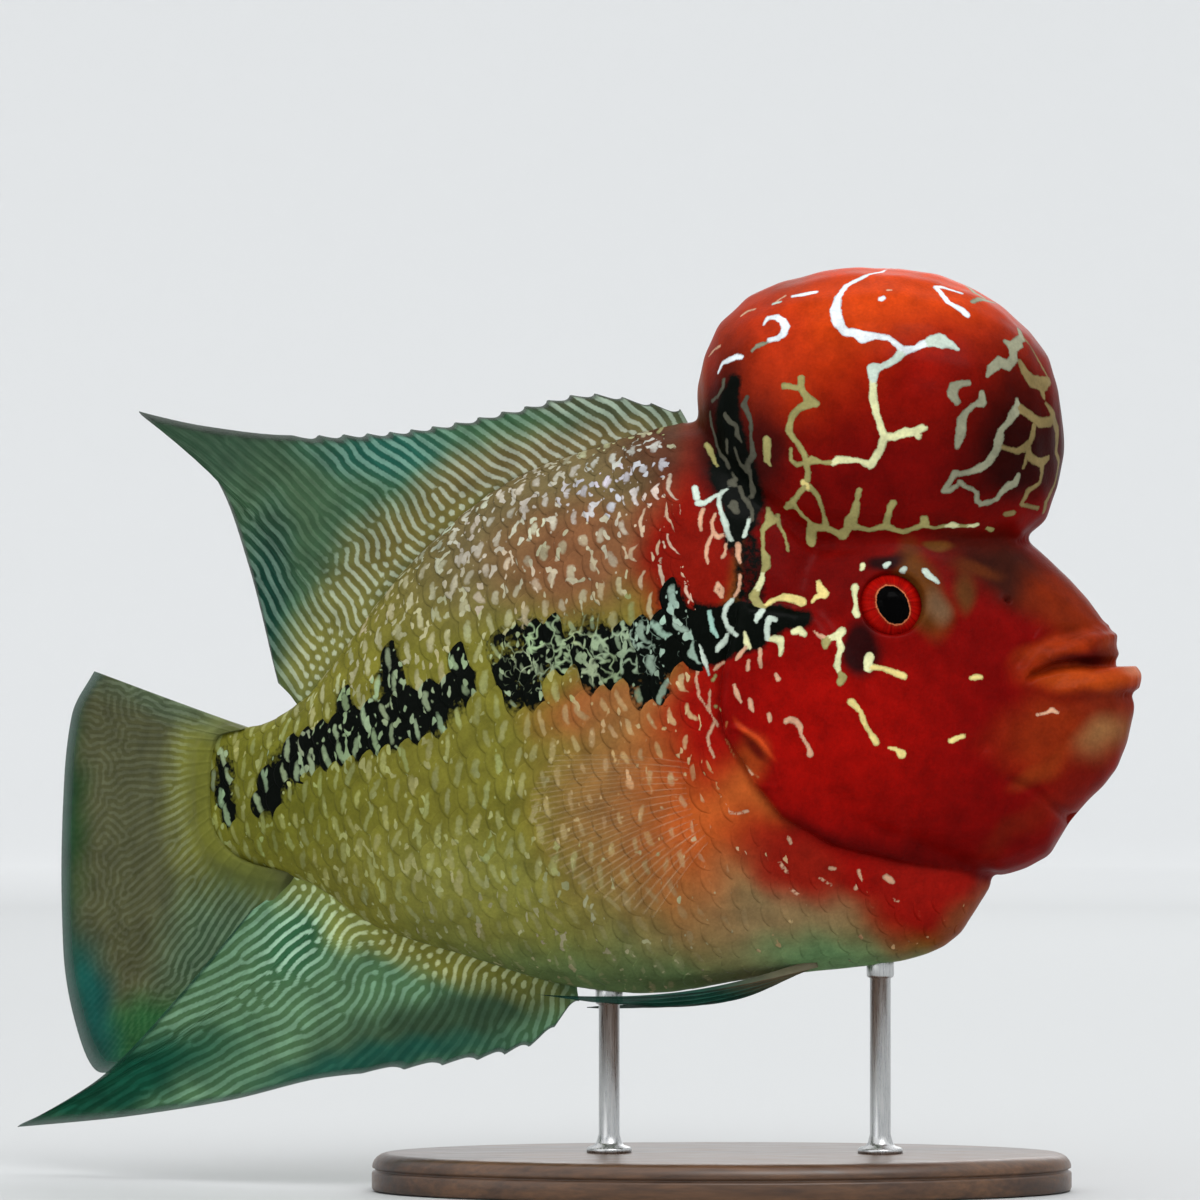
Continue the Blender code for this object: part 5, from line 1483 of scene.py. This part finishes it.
# Ground colour, line colour and strength of the lines, brushed over one another; places are picture pixels
DORSAL_PAINT = (
    ((0.034, 0.092, 0.044, 0.14, 0.25, 0.165, 0.80), (400, 500), (900, 900), 0, 0.2),
    ((0.034, 0.075, 0.042, 0.07, 0.12, 0.075, 0.45), (210, 440), (105, 45), 25, 0.6),
    ((0.044, 0.095, 0.046, 0.10, 0.17, 0.095, 0.60), (290, 520), (60, 60), 40, 0.7),
    ((0.005, 0.038, 0.024, 0.12, 0.21, 0.16, 0.85), (262, 610), (28, 95), 4, 0.6),
    ((0.014, 0.090, 0.062, 0.16, 0.32, 0.25, 0.90), (385, 448), (62, 24), 0, 0.7),
    ((0.172, 0.168, 0.036, 0.46, 0.50, 0.33, 0.85), (338, 642), (78, 36), -58, 0.6),
    ((0.135, 0.115, 0.030, 0.38, 0.42, 0.30, 0.85), (434, 520), (115, 38), -38, 0.6),
    ((0.125, 0.095, 0.034, 0.38, 0.40, 0.31, 0.85), (565, 452), (115, 27), -15, 0.7),
    ((0.050, 0.060, 0.030, 0.30, 0.38, 0.29, 0.85), (600, 405), (90, 12), 6, 0.7),
)
ANAL_PAINT = (
    ((0.063, 0.138, 0.060, 0.185, 0.34, 0.21, 0.80), (350, 1000), (900, 900), 0, 0.2),
    ((0.002, 0.040, 0.020, 0.01, 0.10, 0.060, 0.40), (110, 1085), (130, 30), -18, 0.6),
    ((0.026, 0.055, 0.026, 0.06, 0.12, 0.07, 0.40), (440, 1025), (130, 28), -14, 0.6),
    ((0.008, 0.060, 0.040, 0.03, 0.12, 0.08, 0.30), (380, 1060), (120, 14), -8, 0.7),
    ((0.170, 0.170, 0.030, 0.46, 0.50, 0.24, 1.00), (430, 945), (130, 24), 24, 0.6),
    ((0.232, 0.262, 0.056, 0.58, 0.68, 0.36, 1.00), (330, 900), (50, 34), 30, 0.6),
    ((0.030, 0.110, 0.048, 0.32, 0.52, 0.36, 1.00), (295, 940), (34, 44), 30, 0.6),
)
TAIL_PAINT = (
    ((0.070, 0.072, 0.029, 0.120, 0.130, 0.075, 0.50), (140, 850), (900, 900), 0, 0.2),
    ((0.145, 0.150, 0.024, 0.26, 0.29, 0.13, 0.75), (212, 790), (36, 115), 0, 0.6),
    ((0.135, 0.140, 0.022, 0.22, 0.25, 0.10, 0.55), (246, 880), (34, 52), -8, 0.6),
    ((0.066, 0.090, 0.046, 0.15, 0.19, 0.12, 0.50), (165, 705), (70, 18), 18, 0.7),
    ((0.044, 0.084, 0.040, 0.15, 0.23, 0.14, 0.70), (230, 950), (60, 70), 35, 0.6),
    ((0.020, 0.098, 0.028, 0.05, 0.16, 0.055, 0.40), (150, 1040), (80, 40), -10, 0.6),
    ((0.006, 0.075, 0.060, 0.02, 0.11, 0.085, 0.15), (84, 1000), (26, 85), -14, 0.7),
    ((0.014, 0.054, 0.014, 0.03, 0.07, 0.025, 0.15), (62, 790), (20, 150), 0, 0.8),
)


def ray_curves(rays):
    """Functions of u for the base and the tip of the rays of a fin, in the rays' own coordinates."""
    share = np.linspace(0, 1, len(rays))
    ends = []
    for end in (0, 1):
        curves = [smooth_curve(list(zip(share, axis))) for axis in zip(*(ray[end] for ray in rays))]
        ends.append(lambda u, curves=curves: np.stack([curve(u) for curve in curves], axis=-1))
    return ends


def midline_fin_points(rays, u, v, up, spines, spine_share, trail, ripple):
    """Middle surface of a fin on the midline, in the frame, and its ray length in millimetres."""
    base, tip = ray_curves(rays)
    start = base(u) + (np.array([0, -up * FIN_SINK]) if up else np.array([FIN_SINK, 0]))
    end = tip(u)
    length = np.linalg.norm(end - start, axis=-1, keepdims=True)
    if spines:
        phase = (u / spine_share * spines + 0.001) % 1
        notch = (1 - np.abs(2 * phase ** 0.75 - 1) ** 1.6) * (u < spine_share)
        end = end - (end - start) / length * SPINE_NOTCH * notch[..., None]
    flat = start + (end - start) * v[..., None]
    x, z = flat[..., 0], flat[..., 1]
    z = z + up * RAY_BOW * length[..., 0] * np.sin(np.pi * v)
    root = midline(start[..., 0]) + midline_slope(start[..., 0]) * (x - start[..., 0])
    y = midline(x) + (root - midline(x)) * trail + ripple * v * v * np.sin(2.5 * np.pi * u)
    return np.stack([x, y, z], axis=-1) * MM + DATUM, length[..., 0]


def bilinear(field, row, column):
    row = np.clip(row, 0, field.shape[0] - 1.001)
    column = np.clip(column, 0, field.shape[1] - 1.001)
    r, c = row.astype(int), column.astype(int)
    fr, fc = row - r, column - c
    low = field[r, c] * (1 - fc) + field[r, c + 1] * fc
    high = field[r + 1, c] * (1 - fc) + field[r + 1, c + 1] * fc
    return low * (1 - fr) + high * fr


def maze_lines(points, pitch, stretch, seed):
    """A maze of lines about pitch mm apart that runs along the rays. It grows from noise, as on a living fin.
    points is the fin's grid in the frame, with the rays along its second axis. It returns -1 to 1."""
    flat = (points[..., [0, 2]] - DATUM[[0, 2]]) / MM
    low = flat.reshape(-1, 2).min(0) - 2 * pitch
    size = flat.reshape(-1, 2).max(0) + 2 * pitch - low
    columns, rows = (size / FIN_PATTERN_CELL).astype(int)
    rays = np.diff(flat, axis=1)
    rays /= np.maximum(np.linalg.norm(rays, axis=-1, keepdims=True), 1e-9)
    coarse = flat[::4, :-1:4].reshape(-1, 2)
    coarse_rays = rays[::4, ::4].reshape(-1, 2)
    reach_along = np.linspace(0, 1, flat.shape[1])[None, :-1:4]
    coarse_reach = np.broadcast_to(reach_along, flat[::4, :-1:4].shape[:2]).ravel()
    near = KDTree(len(coarse))
    for i, (px, pz) in enumerate(coarse):
        near.insert((px, pz, 0), i)
    near.balance()
    run = np.zeros((rows, columns, 2))
    reach = np.zeros((rows, columns))
    for r in range(rows):
        for c in range(0, columns, 2):
            _, i, _ = near.find((low[0] + c * FIN_PATTERN_CELL, low[1] + r * FIN_PATTERN_CELL, 0))
            run[r, c:c + 2] = coarse_rays[i]
            reach[r, c:c + 2] = coarse_reach[i]
    frequency = np.hypot(np.fft.fftfreq(rows)[:, None], np.fft.fftfreq(columns)[None, :])
    wanted = FIN_PATTERN_CELL / pitch
    band = np.exp(-(((frequency - wanted) / (0.32 * wanted)) ** 2))
    field = np.random.default_rng(seed).standard_normal((rows, columns))
    row_at, column_at = np.mgrid[0:rows, 0:columns].astype(float)
    step_row, step_column = run[..., 1] * 1.6, run[..., 0] * 1.6
    weight = stretch[0] + (stretch[1] - stretch[0]) * smooth_step(reach, 0.25, 0.65)
    spotty = 0.7 * (1 - smooth_step(reach, 0.25, 0.55)) * (stretch[0] < stretch[1])
    for _ in range(MAZE_ROUNDS):
        field = np.fft.ifft2(np.fft.fft2(field) * band).real
        field /= field.std()
        for _ in range(2):
            ahead = bilinear(field, row_at + step_row, column_at + step_column)
            behind = bilinear(field, row_at - step_row, column_at - step_column)
            field = (field + weight * (ahead + behind)) / (1 + 2 * weight)
        field = np.tanh(2.2 * field - spotty)
    at = (flat - low) / FIN_PATTERN_CELL
    return bilinear(field, at[..., 1], at[..., 0])


def sheet_mesh(name, middle, half):
    """A closed thin body round a grid of middle points. half is its depth on each side of them."""
    run_u = np.gradient(middle, axis=0)
    run_v = np.gradient(middle, axis=1)
    out = np.cross(run_u, run_v)
    out /= np.maximum(np.linalg.norm(out, axis=-1, keepdims=True), 1e-12)
    nu, nv = middle.shape[:2]
    count = nu * nv
    depth = out * half[..., None] * MM
    points = np.concatenate([(middle + depth).reshape(-1, 3), (middle - depth).reshape(-1, 3)])
    index = np.arange(count).reshape(nu, nv)
    quads = np.stack([index[:-1, :-1], index[1:, :-1], index[1:, 1:], index[:-1, 1:]], -1).reshape(-1, 4)
    edge = np.concatenate([index[:, 0], index[-1, 1:], index[-2::-1, -1], index[0, -2:0:-1]])
    after = np.roll(edge, -1)
    rim = np.stack([after, edge, edge + count, after + count], -1)
    faces = quads.tolist() + (quads[:, ::-1] + count).tolist() + rim.tolist()
    return closed_mesh(name, points, faces)


def ray_ridges(u, v, spines, spine_share, soft_rays, spacing):
    """Height in millimetres of the rays over the fin's face. Soft rays fork twice on their way out."""
    ridges = np.zeros_like(u)
    if spines:
        phase = u / spine_share * spines
        off = np.abs(phase - np.round(phase)) * spacing
        ridges = 0.30 * groove(off, 0.42) * (u < spine_share) * (1 - 0.3 * v)
    phase = np.maximum(u - spine_share, 0) / (1 - spine_share) * soft_rays * np.pi
    first = np.abs(np.cos(phase)) ** 14 * (1 - smooth_step(v, 0.35, 0.5))
    second = np.abs(np.cos(2 * phase)) ** 12 * smooth_step(v, 0.35, 0.5) * (1 - smooth_step(v, 0.68, 0.8))
    third = np.abs(np.cos(4 * phase)) ** 10 * smooth_step(v, 0.68, 0.8)
    return ridges + 0.2 * (first + 0.8 * second + 0.6 * third) * (u >= spine_share)


def painted_fin(name, roughness):
    """Fin skin: brushed ground, a maze of pale lines, and a thinner, clearer margin."""
    material, tree, nodes, shader = new_finish(name)
    ground = read_attribute(nodes, "ground")
    lines = read_attribute(nodes, "lines")
    tone = read_attribute(nodes, "line_tone")
    solid = read_attribute(nodes, "solid")
    place_node = nodes.new("ShaderNodeTexCoord")
    mottle = noise(nodes, 7, 4, 0.6)
    grain = noise(nodes, 0.8, 2, 0.5)
    mottle_share = remap(nodes, 0.3, 0.7, 0.78, 1.25)
    tinted = mixer(nodes, "MULTIPLY")
    tinted.inputs[0].default_value = 1
    wobble = remap(nodes, 0.3, 0.7, -0.25, 0.25)
    total = math_node(nodes, "ADD")
    edge = remap(nodes, -0.25, 0.6, 0, 1)
    cover = math_node(nodes, "MULTIPLY")
    lined = mixer(nodes)
    wire(
        tree,
        ((place_node, "Object"), (mottle, "Vector")),
        ((place_node, "Object"), (grain, "Vector")),
        ((mottle, "Fac"), (mottle_share, "Value")),
        ((lines, "Fac"), (total, 0)),
        ((grain, "Fac"), (wobble, "Value")),
        ((wobble, "Result"), (total, 1)),
        ((total, "Value"), (edge, "Value")),
        ((edge, "Result"), (cover, 0)),
        ((tone, "Alpha"), (cover, 1)),
        ((cover, "Value"), (lined, 0)),
        ((ground, "Color"), (lined, MIX_A)),
        ((tone, "Color"), (lined, MIX_B)),
        ((lined, MIX_OUT), (tinted, MIX_A)),
        ((mottle_share, "Result"), (tinted, MIX_B)),
        ((tinted, MIX_OUT), (shader, "Base Color")),
        ((solid, "Fac"), (shader, "Alpha")),
    )
    add_relief(tree, shader, grain, mottle, 0.08, (roughness - 0.06, roughness + 0.08))
    varnish(shader, 0.02, 0.2, 0.04)
    return material


def both_faces(*fields):
    """Each field of a fin's grid as one long row, twice: once for each face of the fin."""
    return [np.concatenate([field.ravel(), field.ravel()]) for field in fields]


MIDLINE_FINS = (
    # name, node, rays, way up, grid, paint, dark margin
    # spines, their share of the fin, gap between them, soft rays, trail and ripple of the free edge
    # pitch of the maze, its pull along the rays at root and edge, seed
    ("fin_of_back", "dorsal_fin", DORSAL_RAYS, 1, (384, 84), DORSAL_PAINT, (0.030, 0.042, 0.028),
     (16, 0.5, 4.5, 12), (0.9, 1.5), (2.4, (0.02, 0.4), 5)),
    ("fin_of_belly", "anal_fin", ANAL_RAYS, -1, (320, 96), ANAL_PAINT, (0.006, 0.050, 0.030),
     (7, 0.36, 5.0, 10), (1.0, -2.2), (2.4, (0.03, 0.4), 9)),
    ("fin_of_tail", "caudal_fin", TAIL_RAYS, 0, (300, 70), TAIL_PAINT, (0.006, 0.060, 0.040),
     (0, 0.0, 1.0, 18), (0.0, 2.0), (1.8, (0.35, 0.0), 14)),
)
for name, node, rays, way, grid, paint, margin_tone, ray_make, free_edge, maze in MIDLINE_FINS:
    spines, spine_share, gap, soft_rays = ray_make
    trail, ripple = free_edge
    u, v = np.meshgrid(np.linspace(0, 1, grid[0]), np.linspace(0, 1, grid[1]), indexing="ij")
    middle, length = midline_fin_points(rays, u, v, way, spines, spine_share, trail, ripple)
    lines = maze_lines(middle, *maze)
    from_root = v * length
    to_tip = (1 - v) * length
    half = 0.5 * (0.62 + 1.6 * (1 - v) ** 1.6) + 1.1 * groove(np.maximum(from_root - 2.6, 0), 1.7)
    if not way:
        swell = np.clip(4 * u * (1 - u), 0, 1) ** 0.7
        half += TAIL_ROOT_SWELL * swell * groove(np.maximum(from_root - FIN_SINK, 0), TAIL_ROOT_REACH)
    half += ray_ridges(u, v, spines, spine_share, soft_rays, gap)
    half *= np.clip(to_tip / 1.2, 0.12, 1) ** 0.5 * np.clip(np.minimum(u, 1 - u) * 60, 0.15, 1) ** 0.5
    fin_mesh = sheet_mesh(name, middle, half)
    seen_u, seen_v = seen_at(middle.reshape(-1, 3))
    tones = airbrushed(seen_u, seen_v, paint)
    at_margin = smooth_step(v, MARGIN_FROM, 0.985).reshape(-1, 1)
    tones[:, :3] += (np.array(margin_tone) - tones[:, :3]) * at_margin * 0.8
    tones[:, 6:] *= 1 - 0.85 * at_margin
    if not way:
        tones[:, 6] *= smooth_step(from_root, FIN_SINK, FIN_SINK + 8).ravel()
    lines, solid = both_faces(lines, 1 - 0.35 * smooth_step(v, MARGIN_FROM, 1.0))
    add_colour(fin_mesh, "ground", np.tile(tones[:, :3], (2, 1)))
    add_colour(fin_mesh, "line_tone", np.tile(tones[:, 3:], (2, 1)))
    add_value(fin_mesh, "lines", lines)
    add_value(fin_mesh, "solid", solid)
    new_piece(name, fin_mesh, painted_fin(name, 0.42), "fin_membrane", node)

# Paired fins. The real breast fins are clear, with fine rays, and the belly fins are stiff dark blades. The
# model's breast fins are cast in clear resin, tinted along their rays, and all four are let into the skin.
PECTORAL_RAYS = (
    # (x, side, z) of root and tip
    ((37, 23.5, 101), (-3, 37, 105)), ((36.4, 23, 98.4), (-8.5, 38, 95)),
    ((36, 22.5, 95.6), (-6, 37.5, 84)), ((36, 22, 92.8), (3, 35.5, 74)), ((36.6, 21.5, 90), (19, 32, 66.5)),
)
PECTORAL_SAG = -1.5
PECTORAL_ROOT_TONE = np.array([0.45, 0.16, 0.06])
PECTORAL_TIP_TONE = np.array([0.36, 0.29, 0.15])
PECTORAL_RAY_TONE = (0.50, 0.34, 0.20, 0.8)
PELVIC_RAYS = {
    -1: (
        ((57, 8, 55), (-8.4, 21, 47.8)), ((55, 6.6, 54), (10, 17.5, 45.6)), ((52, 5.4, 53.2),
         (24, 10.5, 46.8)),
    ),
    1: (((57, 8, 55), (0, 24, 42.6)), ((55, 6.6, 54), (14, 19, 43.4)), ((52, 5.4, 53.2), (26, 11, 46))),
}
PELVIC_SAG = 3.4
PELVIC_DARK = np.array([0.004, 0.032, 0.020])
PELVIC_FLESH = np.array([0.30, 0.17, 0.09])
PELVIC_RAY_TONE = (0.02, 0.08, 0.06, 0.6)


def paired_fin_points(rays, u, v, sign, sag):
    base, tip = ray_curves(rays)
    x, side, z = np.moveaxis(base(u) + (tip(u) - base(u)) * v[..., None], -1, 0)
    return place(x, sign * side, z - sag * np.sin(np.pi * v))


for sign, side_name in ((-1, "right"), (1, "left")):
    u, v = np.meshgrid(np.linspace(0, 1, 240), np.linspace(0, 1, 40), indexing="ij")
    middle = paired_fin_points(PECTORAL_RAYS, u, v, sign, PECTORAL_SAG)
    rays_at = np.abs(np.cos(15 * np.pi * u)) ** 24 * (1 - smooth_step(v, 0.4, 0.55))
    forks_at = np.abs(np.cos(30 * np.pi * u)) ** 16 * smooth_step(v, 0.4, 0.55)
    on_ray = np.maximum(rays_at, 0.8 * forks_at)
    half = 0.16 + 0.35 * (1 - v) ** 2 + 0.12 * on_ray
    half *= np.clip((1 - v) * 20, 0.2, 1) ** 0.5 * np.clip(np.minimum(u, 1 - u) * 40, 0.2, 1) ** 0.5
    fin_mesh = sheet_mesh("breast_fin_" + side_name, middle, half)
    rays_on, out = both_faces(on_ray, v)
    tip_share = smooth_step(out, 0.2, 0.8)[:, None]
    clear_tone = PECTORAL_ROOT_TONE + (PECTORAL_TIP_TONE - PECTORAL_ROOT_TONE) * tip_share
    add_colour(fin_mesh, "ground", clear_tone)
    add_colour(fin_mesh, "line_tone", np.tile(PECTORAL_RAY_TONE, (len(clear_tone), 1)))
    add_value(fin_mesh, "lines", rays_on * 2 - 1)
    add_value(fin_mesh, "solid", 0.02 + 0.24 * rays_on + 0.5 * (1 - smooth_step(out, 0.0, 0.16)))
    new_piece(
        "breast_fin_" + side_name, fin_mesh, painted_fin("breast_fin_" + side_name, 0.3), "clear_membrane",
        "pectoral_fin_" + side_name,
    )

    u, v = np.meshgrid(np.linspace(0, 1, 80), np.linspace(0, 1, 90), indexing="ij")
    middle = paired_fin_points(PELVIC_RAYS[sign], u, v, sign, PELVIC_SAG)
    rays_at = np.abs(np.cos(6 * np.pi * u)) ** 8
    half = 0.2 + 0.45 * (1 - v) + 0.16 * rays_at + 0.5 * groove(u, 0.08) * (1 - v)
    half *= np.clip((1 - v) * 20, 0.2, 1) ** 0.5 * np.clip(np.minimum(u + 0.02, 1 - u) * 25, 0.2, 1) ** 0.5
    fin_mesh = sheet_mesh("keel_fin_" + side_name, middle, half)
    rays_on, out, down = both_faces(rays_at, v, u)
    fleshy = ((1 - smooth_step(out, 0.05, 0.45)) * (1 - 0.6 * smooth_step(down, 0, 0.3)))[:, None]
    add_colour(fin_mesh, "ground", PELVIC_DARK + (PELVIC_FLESH - PELVIC_DARK) * fleshy)
    add_colour(fin_mesh, "line_tone", np.tile(PELVIC_RAY_TONE, (len(fleshy), 1)))
    add_value(fin_mesh, "lines", rays_on * 2 - 1)
    add_value(fin_mesh, "solid", 1 - 0.2 * out)
    new_piece(
        "keel_fin_" + side_name, fin_mesh, painted_fin("keel_fin_" + side_name, 0.35), "fin_membrane",
        "pelvic_fin_" + side_name,
    )

# Stand: a turned oval walnut base with a rounded shoulder and one groove, oiled, and two brushed steel rods
# with a flange screwed to the base and a sleeve where each goes up into the belly.
BASE_SIZE = (168.0, 86.0)
BASE_THICKNESS = 9.0
BASE_PROFILE = (
    # how far in from the edge, and height
    (1.0, 0.0), (0.25, 0.2), (0.0, 0.8), (0.0, 4.2), (0.12, 4.5), (0.75, 4.75), (0.8, 5.0), (0.75, 5.25),
    (0.15, 5.5), (0.1, 5.8), (0.2, 6.5), (0.6, 7.3), (1.2, 8.0), (2.0, 8.55), (3.0, 8.9), (4.2, 9.0),
    (12.0, 9.0), (26.0, 9.0),
)
ROD_RADIUS = 2.5
ROD_AT = {"front": 72.0, "rear": 7.0}


def lathe(name, profile, middle, half_size=(0, 0), segments=128):
    """A turned body from (reach, height) pairs. With half_size, reach is measured in from an oval edge."""
    points, faces = [], []
    for reach, height in profile:
        for i in range(segments):
            angle = 2 * math.pi * i / segments
            if half_size[0]:
                across, along = half_size[0] - reach, half_size[1] - reach
            else:
                across = along = reach
            points.append((
                middle[0] + across * math.cos(angle) * MM, middle[1] + along * math.sin(angle) * MM,
                middle[2] + height * MM,
            ))
    for ring in range(len(profile) - 1):
        for i in range(segments):
            j = (i + 1) % segments
            low, high = ring * segments, (ring + 1) * segments
            faces.append((low + i, low + j, high + j, high + i))
    faces.append(tuple(range(segments - 1, -1, -1)))
    faces.append(tuple(range((len(profile) - 1) * segments, len(profile) * segments)))
    return closed_mesh(name, points, faces)


def walnut():
    material, tree, nodes, shader = new_finish("walnut")
    place_node = nodes.new("ShaderNodeTexCoord")
    stretched = nodes.new("ShaderNodeMapping")
    stretched.inputs["Scale"].default_value = (0.09, 1.0, 1.0)
    figure = noise(nodes, 16, 5, 0.55)
    figure.inputs["Distortion"].default_value = 0.8
    grain = noise(nodes, 1.1, 3, 0.6)
    ramp = colour_ramp(nodes, (
        (0.30, (0.018, 0.008, 0.004)), (0.46, (0.060, 0.026, 0.011)), (0.56, (0.115, 0.052, 0.021)),
        (0.72, (0.055, 0.023, 0.010)),
    ))
    grain_share = remap(nodes, 0.3, 0.7, 0.62, 1.2)
    coloured = mixer(nodes, "MULTIPLY")
    coloured.inputs[0].default_value = 1
    wire(
        tree,
        ((place_node, "Object"), (stretched, "Vector")),
        ((stretched, "Vector"), (figure, "Vector")),
        ((stretched, "Vector"), (grain, "Vector")),
        ((figure, "Fac"), (ramp, "Fac")),
        ((grain, "Fac"), (grain_share, "Value")),
        ((ramp, "Color"), (coloured, MIX_A)),
        ((grain_share, "Result"), (coloured, MIX_B)),
        ((coloured, MIX_OUT), (shader, "Base Color")),
    )
    add_relief(tree, shader, grain, grain, 0.08, (0.30, 0.46))
    varnish(shader, 0.2, 0.25)
    return material


def brushed_steel():
    material, tree, nodes, shader = new_finish("brushed_steel")
    place_node = nodes.new("ShaderNodeTexCoord")
    stretched = nodes.new("ShaderNodeMapping")
    stretched.inputs["Scale"].default_value = (1.0, 1.0, 0.04)
    brush = noise(nodes, 0.35, 3, 0.6)
    tint = colour_ramp(nodes, ((0.3, (0.42, 0.43, 0.44)), (0.7, (0.62, 0.62, 0.61))))
    wire(
        tree,
        ((place_node, "Object"), (stretched, "Vector")),
        ((stretched, "Vector"), (brush, "Vector")),
        ((brush, "Fac"), (tint, "Fac")),
        ((tint, "Color"), (shader, "Base Color")),
    )
    add_relief(tree, shader, brush, brush, 0.02, (0.22, 0.38), 0.4)
    shader.inputs["Metallic"].default_value = 1.0
    return material


base_middle = DATUM + np.array([*BASE_CENTRE, 0]) * MM
BASE_INSET = 0.02  # keeps the turned base just inside the modelled one
base_outline = [(reach + BASE_INSET, height) for reach, height in BASE_PROFILE]
base_mesh = lathe("walnut_base", base_outline, base_middle, (BASE_SIZE[0] / 2, BASE_SIZE[1] / 2), 192)
new_piece("walnut_base", base_mesh, walnut(), "base_wood", "stand_base")
steel = brushed_steel()
for place_name, rod_x in ROD_AT.items():
    foot = DATUM + np.array([rod_x, float(midline(rod_x)), 0]) * MM
    over_base = Vector(foot + np.array([0, 0, 2 * BASE_THICKNESS * MM]))
    belly = (skin_tree_now.ray_cast(over_base, Vector((0, 0, 1)))[0].z - DATUM[2]) / MM
    rod_profile = (
        # flange
        (5.4, BASE_THICKNESS), (5.4, 9.9), (5.1, 10.3), (3.6, 10.8), (3.0, 11.6), (2.7, 12.8),
        # rod, and the sleeve at the belly
        (ROD_RADIUS, 13.4), (ROD_RADIUS, belly - 3.4),
        (3.1, belly - 3.1), (3.3, belly - 2.7), (3.3, belly + 2.5), (2.0, belly + 3.0),
    )
    rod_mesh = lathe("steel_rod_" + place_name, rod_profile, foot, segments=64)
    new_piece("steel_rod_" + place_name, rod_mesh, steel, "rod_steel", "stand_rod_" + place_name)


# Studio. It holds a plain pale table that curves up all round like a bowl, so that no edge shows from any
# side, and four soft lights. Past the lights' reach the table is painted paler, so that it looks even.
SWEEP_INNER = 3.0  # metres, like all the sizes of this section
SWEEP_OUTER = 5.5
SWEEP_HEIGHT = 3.6
SWEEP_SEGMENTS = 96
SWEEP_STEPS = 16
TABLE_DROP = 0.0002  # keeps the table just under the base
TABLE_SHADES = ((0.37, (0.50, 0.51, 0.51)), (0.49, (0.72, 0.73, 0.73)))
TABLE_SPAN = 5.0  # reach at which the ramp of those shades would end

sweep_shape = bmesh.new()
sweep_rows = []
profile = [(SWEEP_INNER * i / 4, 0.0) for i in range(1, 5)]
for i in range(1, SWEEP_STEPS + 1):
    angle = math.pi / 2 * i / SWEEP_STEPS
    reach = SWEEP_INNER + (SWEEP_OUTER - SWEEP_INNER) * math.sin(angle)
    profile.append((reach, SWEEP_HEIGHT * (1 - math.cos(angle))))
middle = sweep_shape.verts.new((0, 0, -TABLE_DROP))
for reach, height in profile:
    sweep_rows.append([
        sweep_shape.verts.new((
            reach * math.cos(2 * math.pi * i / SWEEP_SEGMENTS),
            reach * math.sin(2 * math.pi * i / SWEEP_SEGMENTS),
            height - TABLE_DROP,
        ))
        for i in range(SWEEP_SEGMENTS)
    ])
for i in range(SWEEP_SEGMENTS):
    j = (i + 1) % SWEEP_SEGMENTS
    sweep_shape.faces.new((middle, sweep_rows[0][i], sweep_rows[0][j]))
    for near, far in zip(sweep_rows, sweep_rows[1:]):
        sweep_shape.faces.new((near[i], far[i], far[j], near[j]))
sweep_mesh = bpy.data.meshes.new("table")
sweep_shape.to_mesh(sweep_mesh)
sweep_mesh.shade_smooth()
table = into_scene("table", sweep_mesh)
table_paint, table_tree, table_nodes, table_shader = new_finish("table")
table_shader.inputs["Roughness"].default_value = 0.8
table_place = table_nodes.new("ShaderNodeTexCoord")
table_reach = vector_math(table_nodes, "LENGTH")
table_share = math_node(table_nodes, "MULTIPLY", 1 / TABLE_SPAN)
table_ramp = colour_ramp(table_nodes, TABLE_SHADES)
wire(
    table_tree,
    ((table_place, "Object"), (table_reach, "Vector")),
    ((table_reach, "Value"), (table_share, 0)),
    ((table_share, "Value"), (table_ramp, "Fac")),
    ((table_ramp, "Color"), (table_shader, "Base Color")),
)
sweep_mesh.materials.append(table_paint)


def soft_light(name, at, aim, size, watts):
    data = bpy.data.lights.new(name, "AREA")
    data.shape = "RECTANGLE"
    data.size, data.size_y = size
    data.energy = watts
    light = into_scene(name, data)
    light.location = at
    light.rotation_euler = (Vector(at) - Vector(aim)).to_track_quat("Z", "Y").to_euler()


soft_light("key", (0.5, -1.3, 1.7), (0, 0, 0.12), (0.9, 0.9), 14)
soft_light("fill", (-1.5, -1.5, 0.7), (0, 0, 0.12), (1.2, 1.0), 4)
soft_light("top", (-0.1, 0.3, 1.9), (0, 0, 0.1), (1.0, 1.0), 4)
soft_light("rear", (0.4, 1.9, 1.0), (0, 0, 0.12), (1.2, 0.8), 6)

world = bpy.data.worlds.new("studio")
bpy.context.scene.world = world
world.use_nodes = True
world.node_tree.nodes["Background"].inputs["Color"].default_value = (0.97, 0.98, 1.0, 1)
world.node_tree.nodes["Background"].inputs["Strength"].default_value = 1.25
bpy.context.scene.view_settings.view_transform = "Standard"
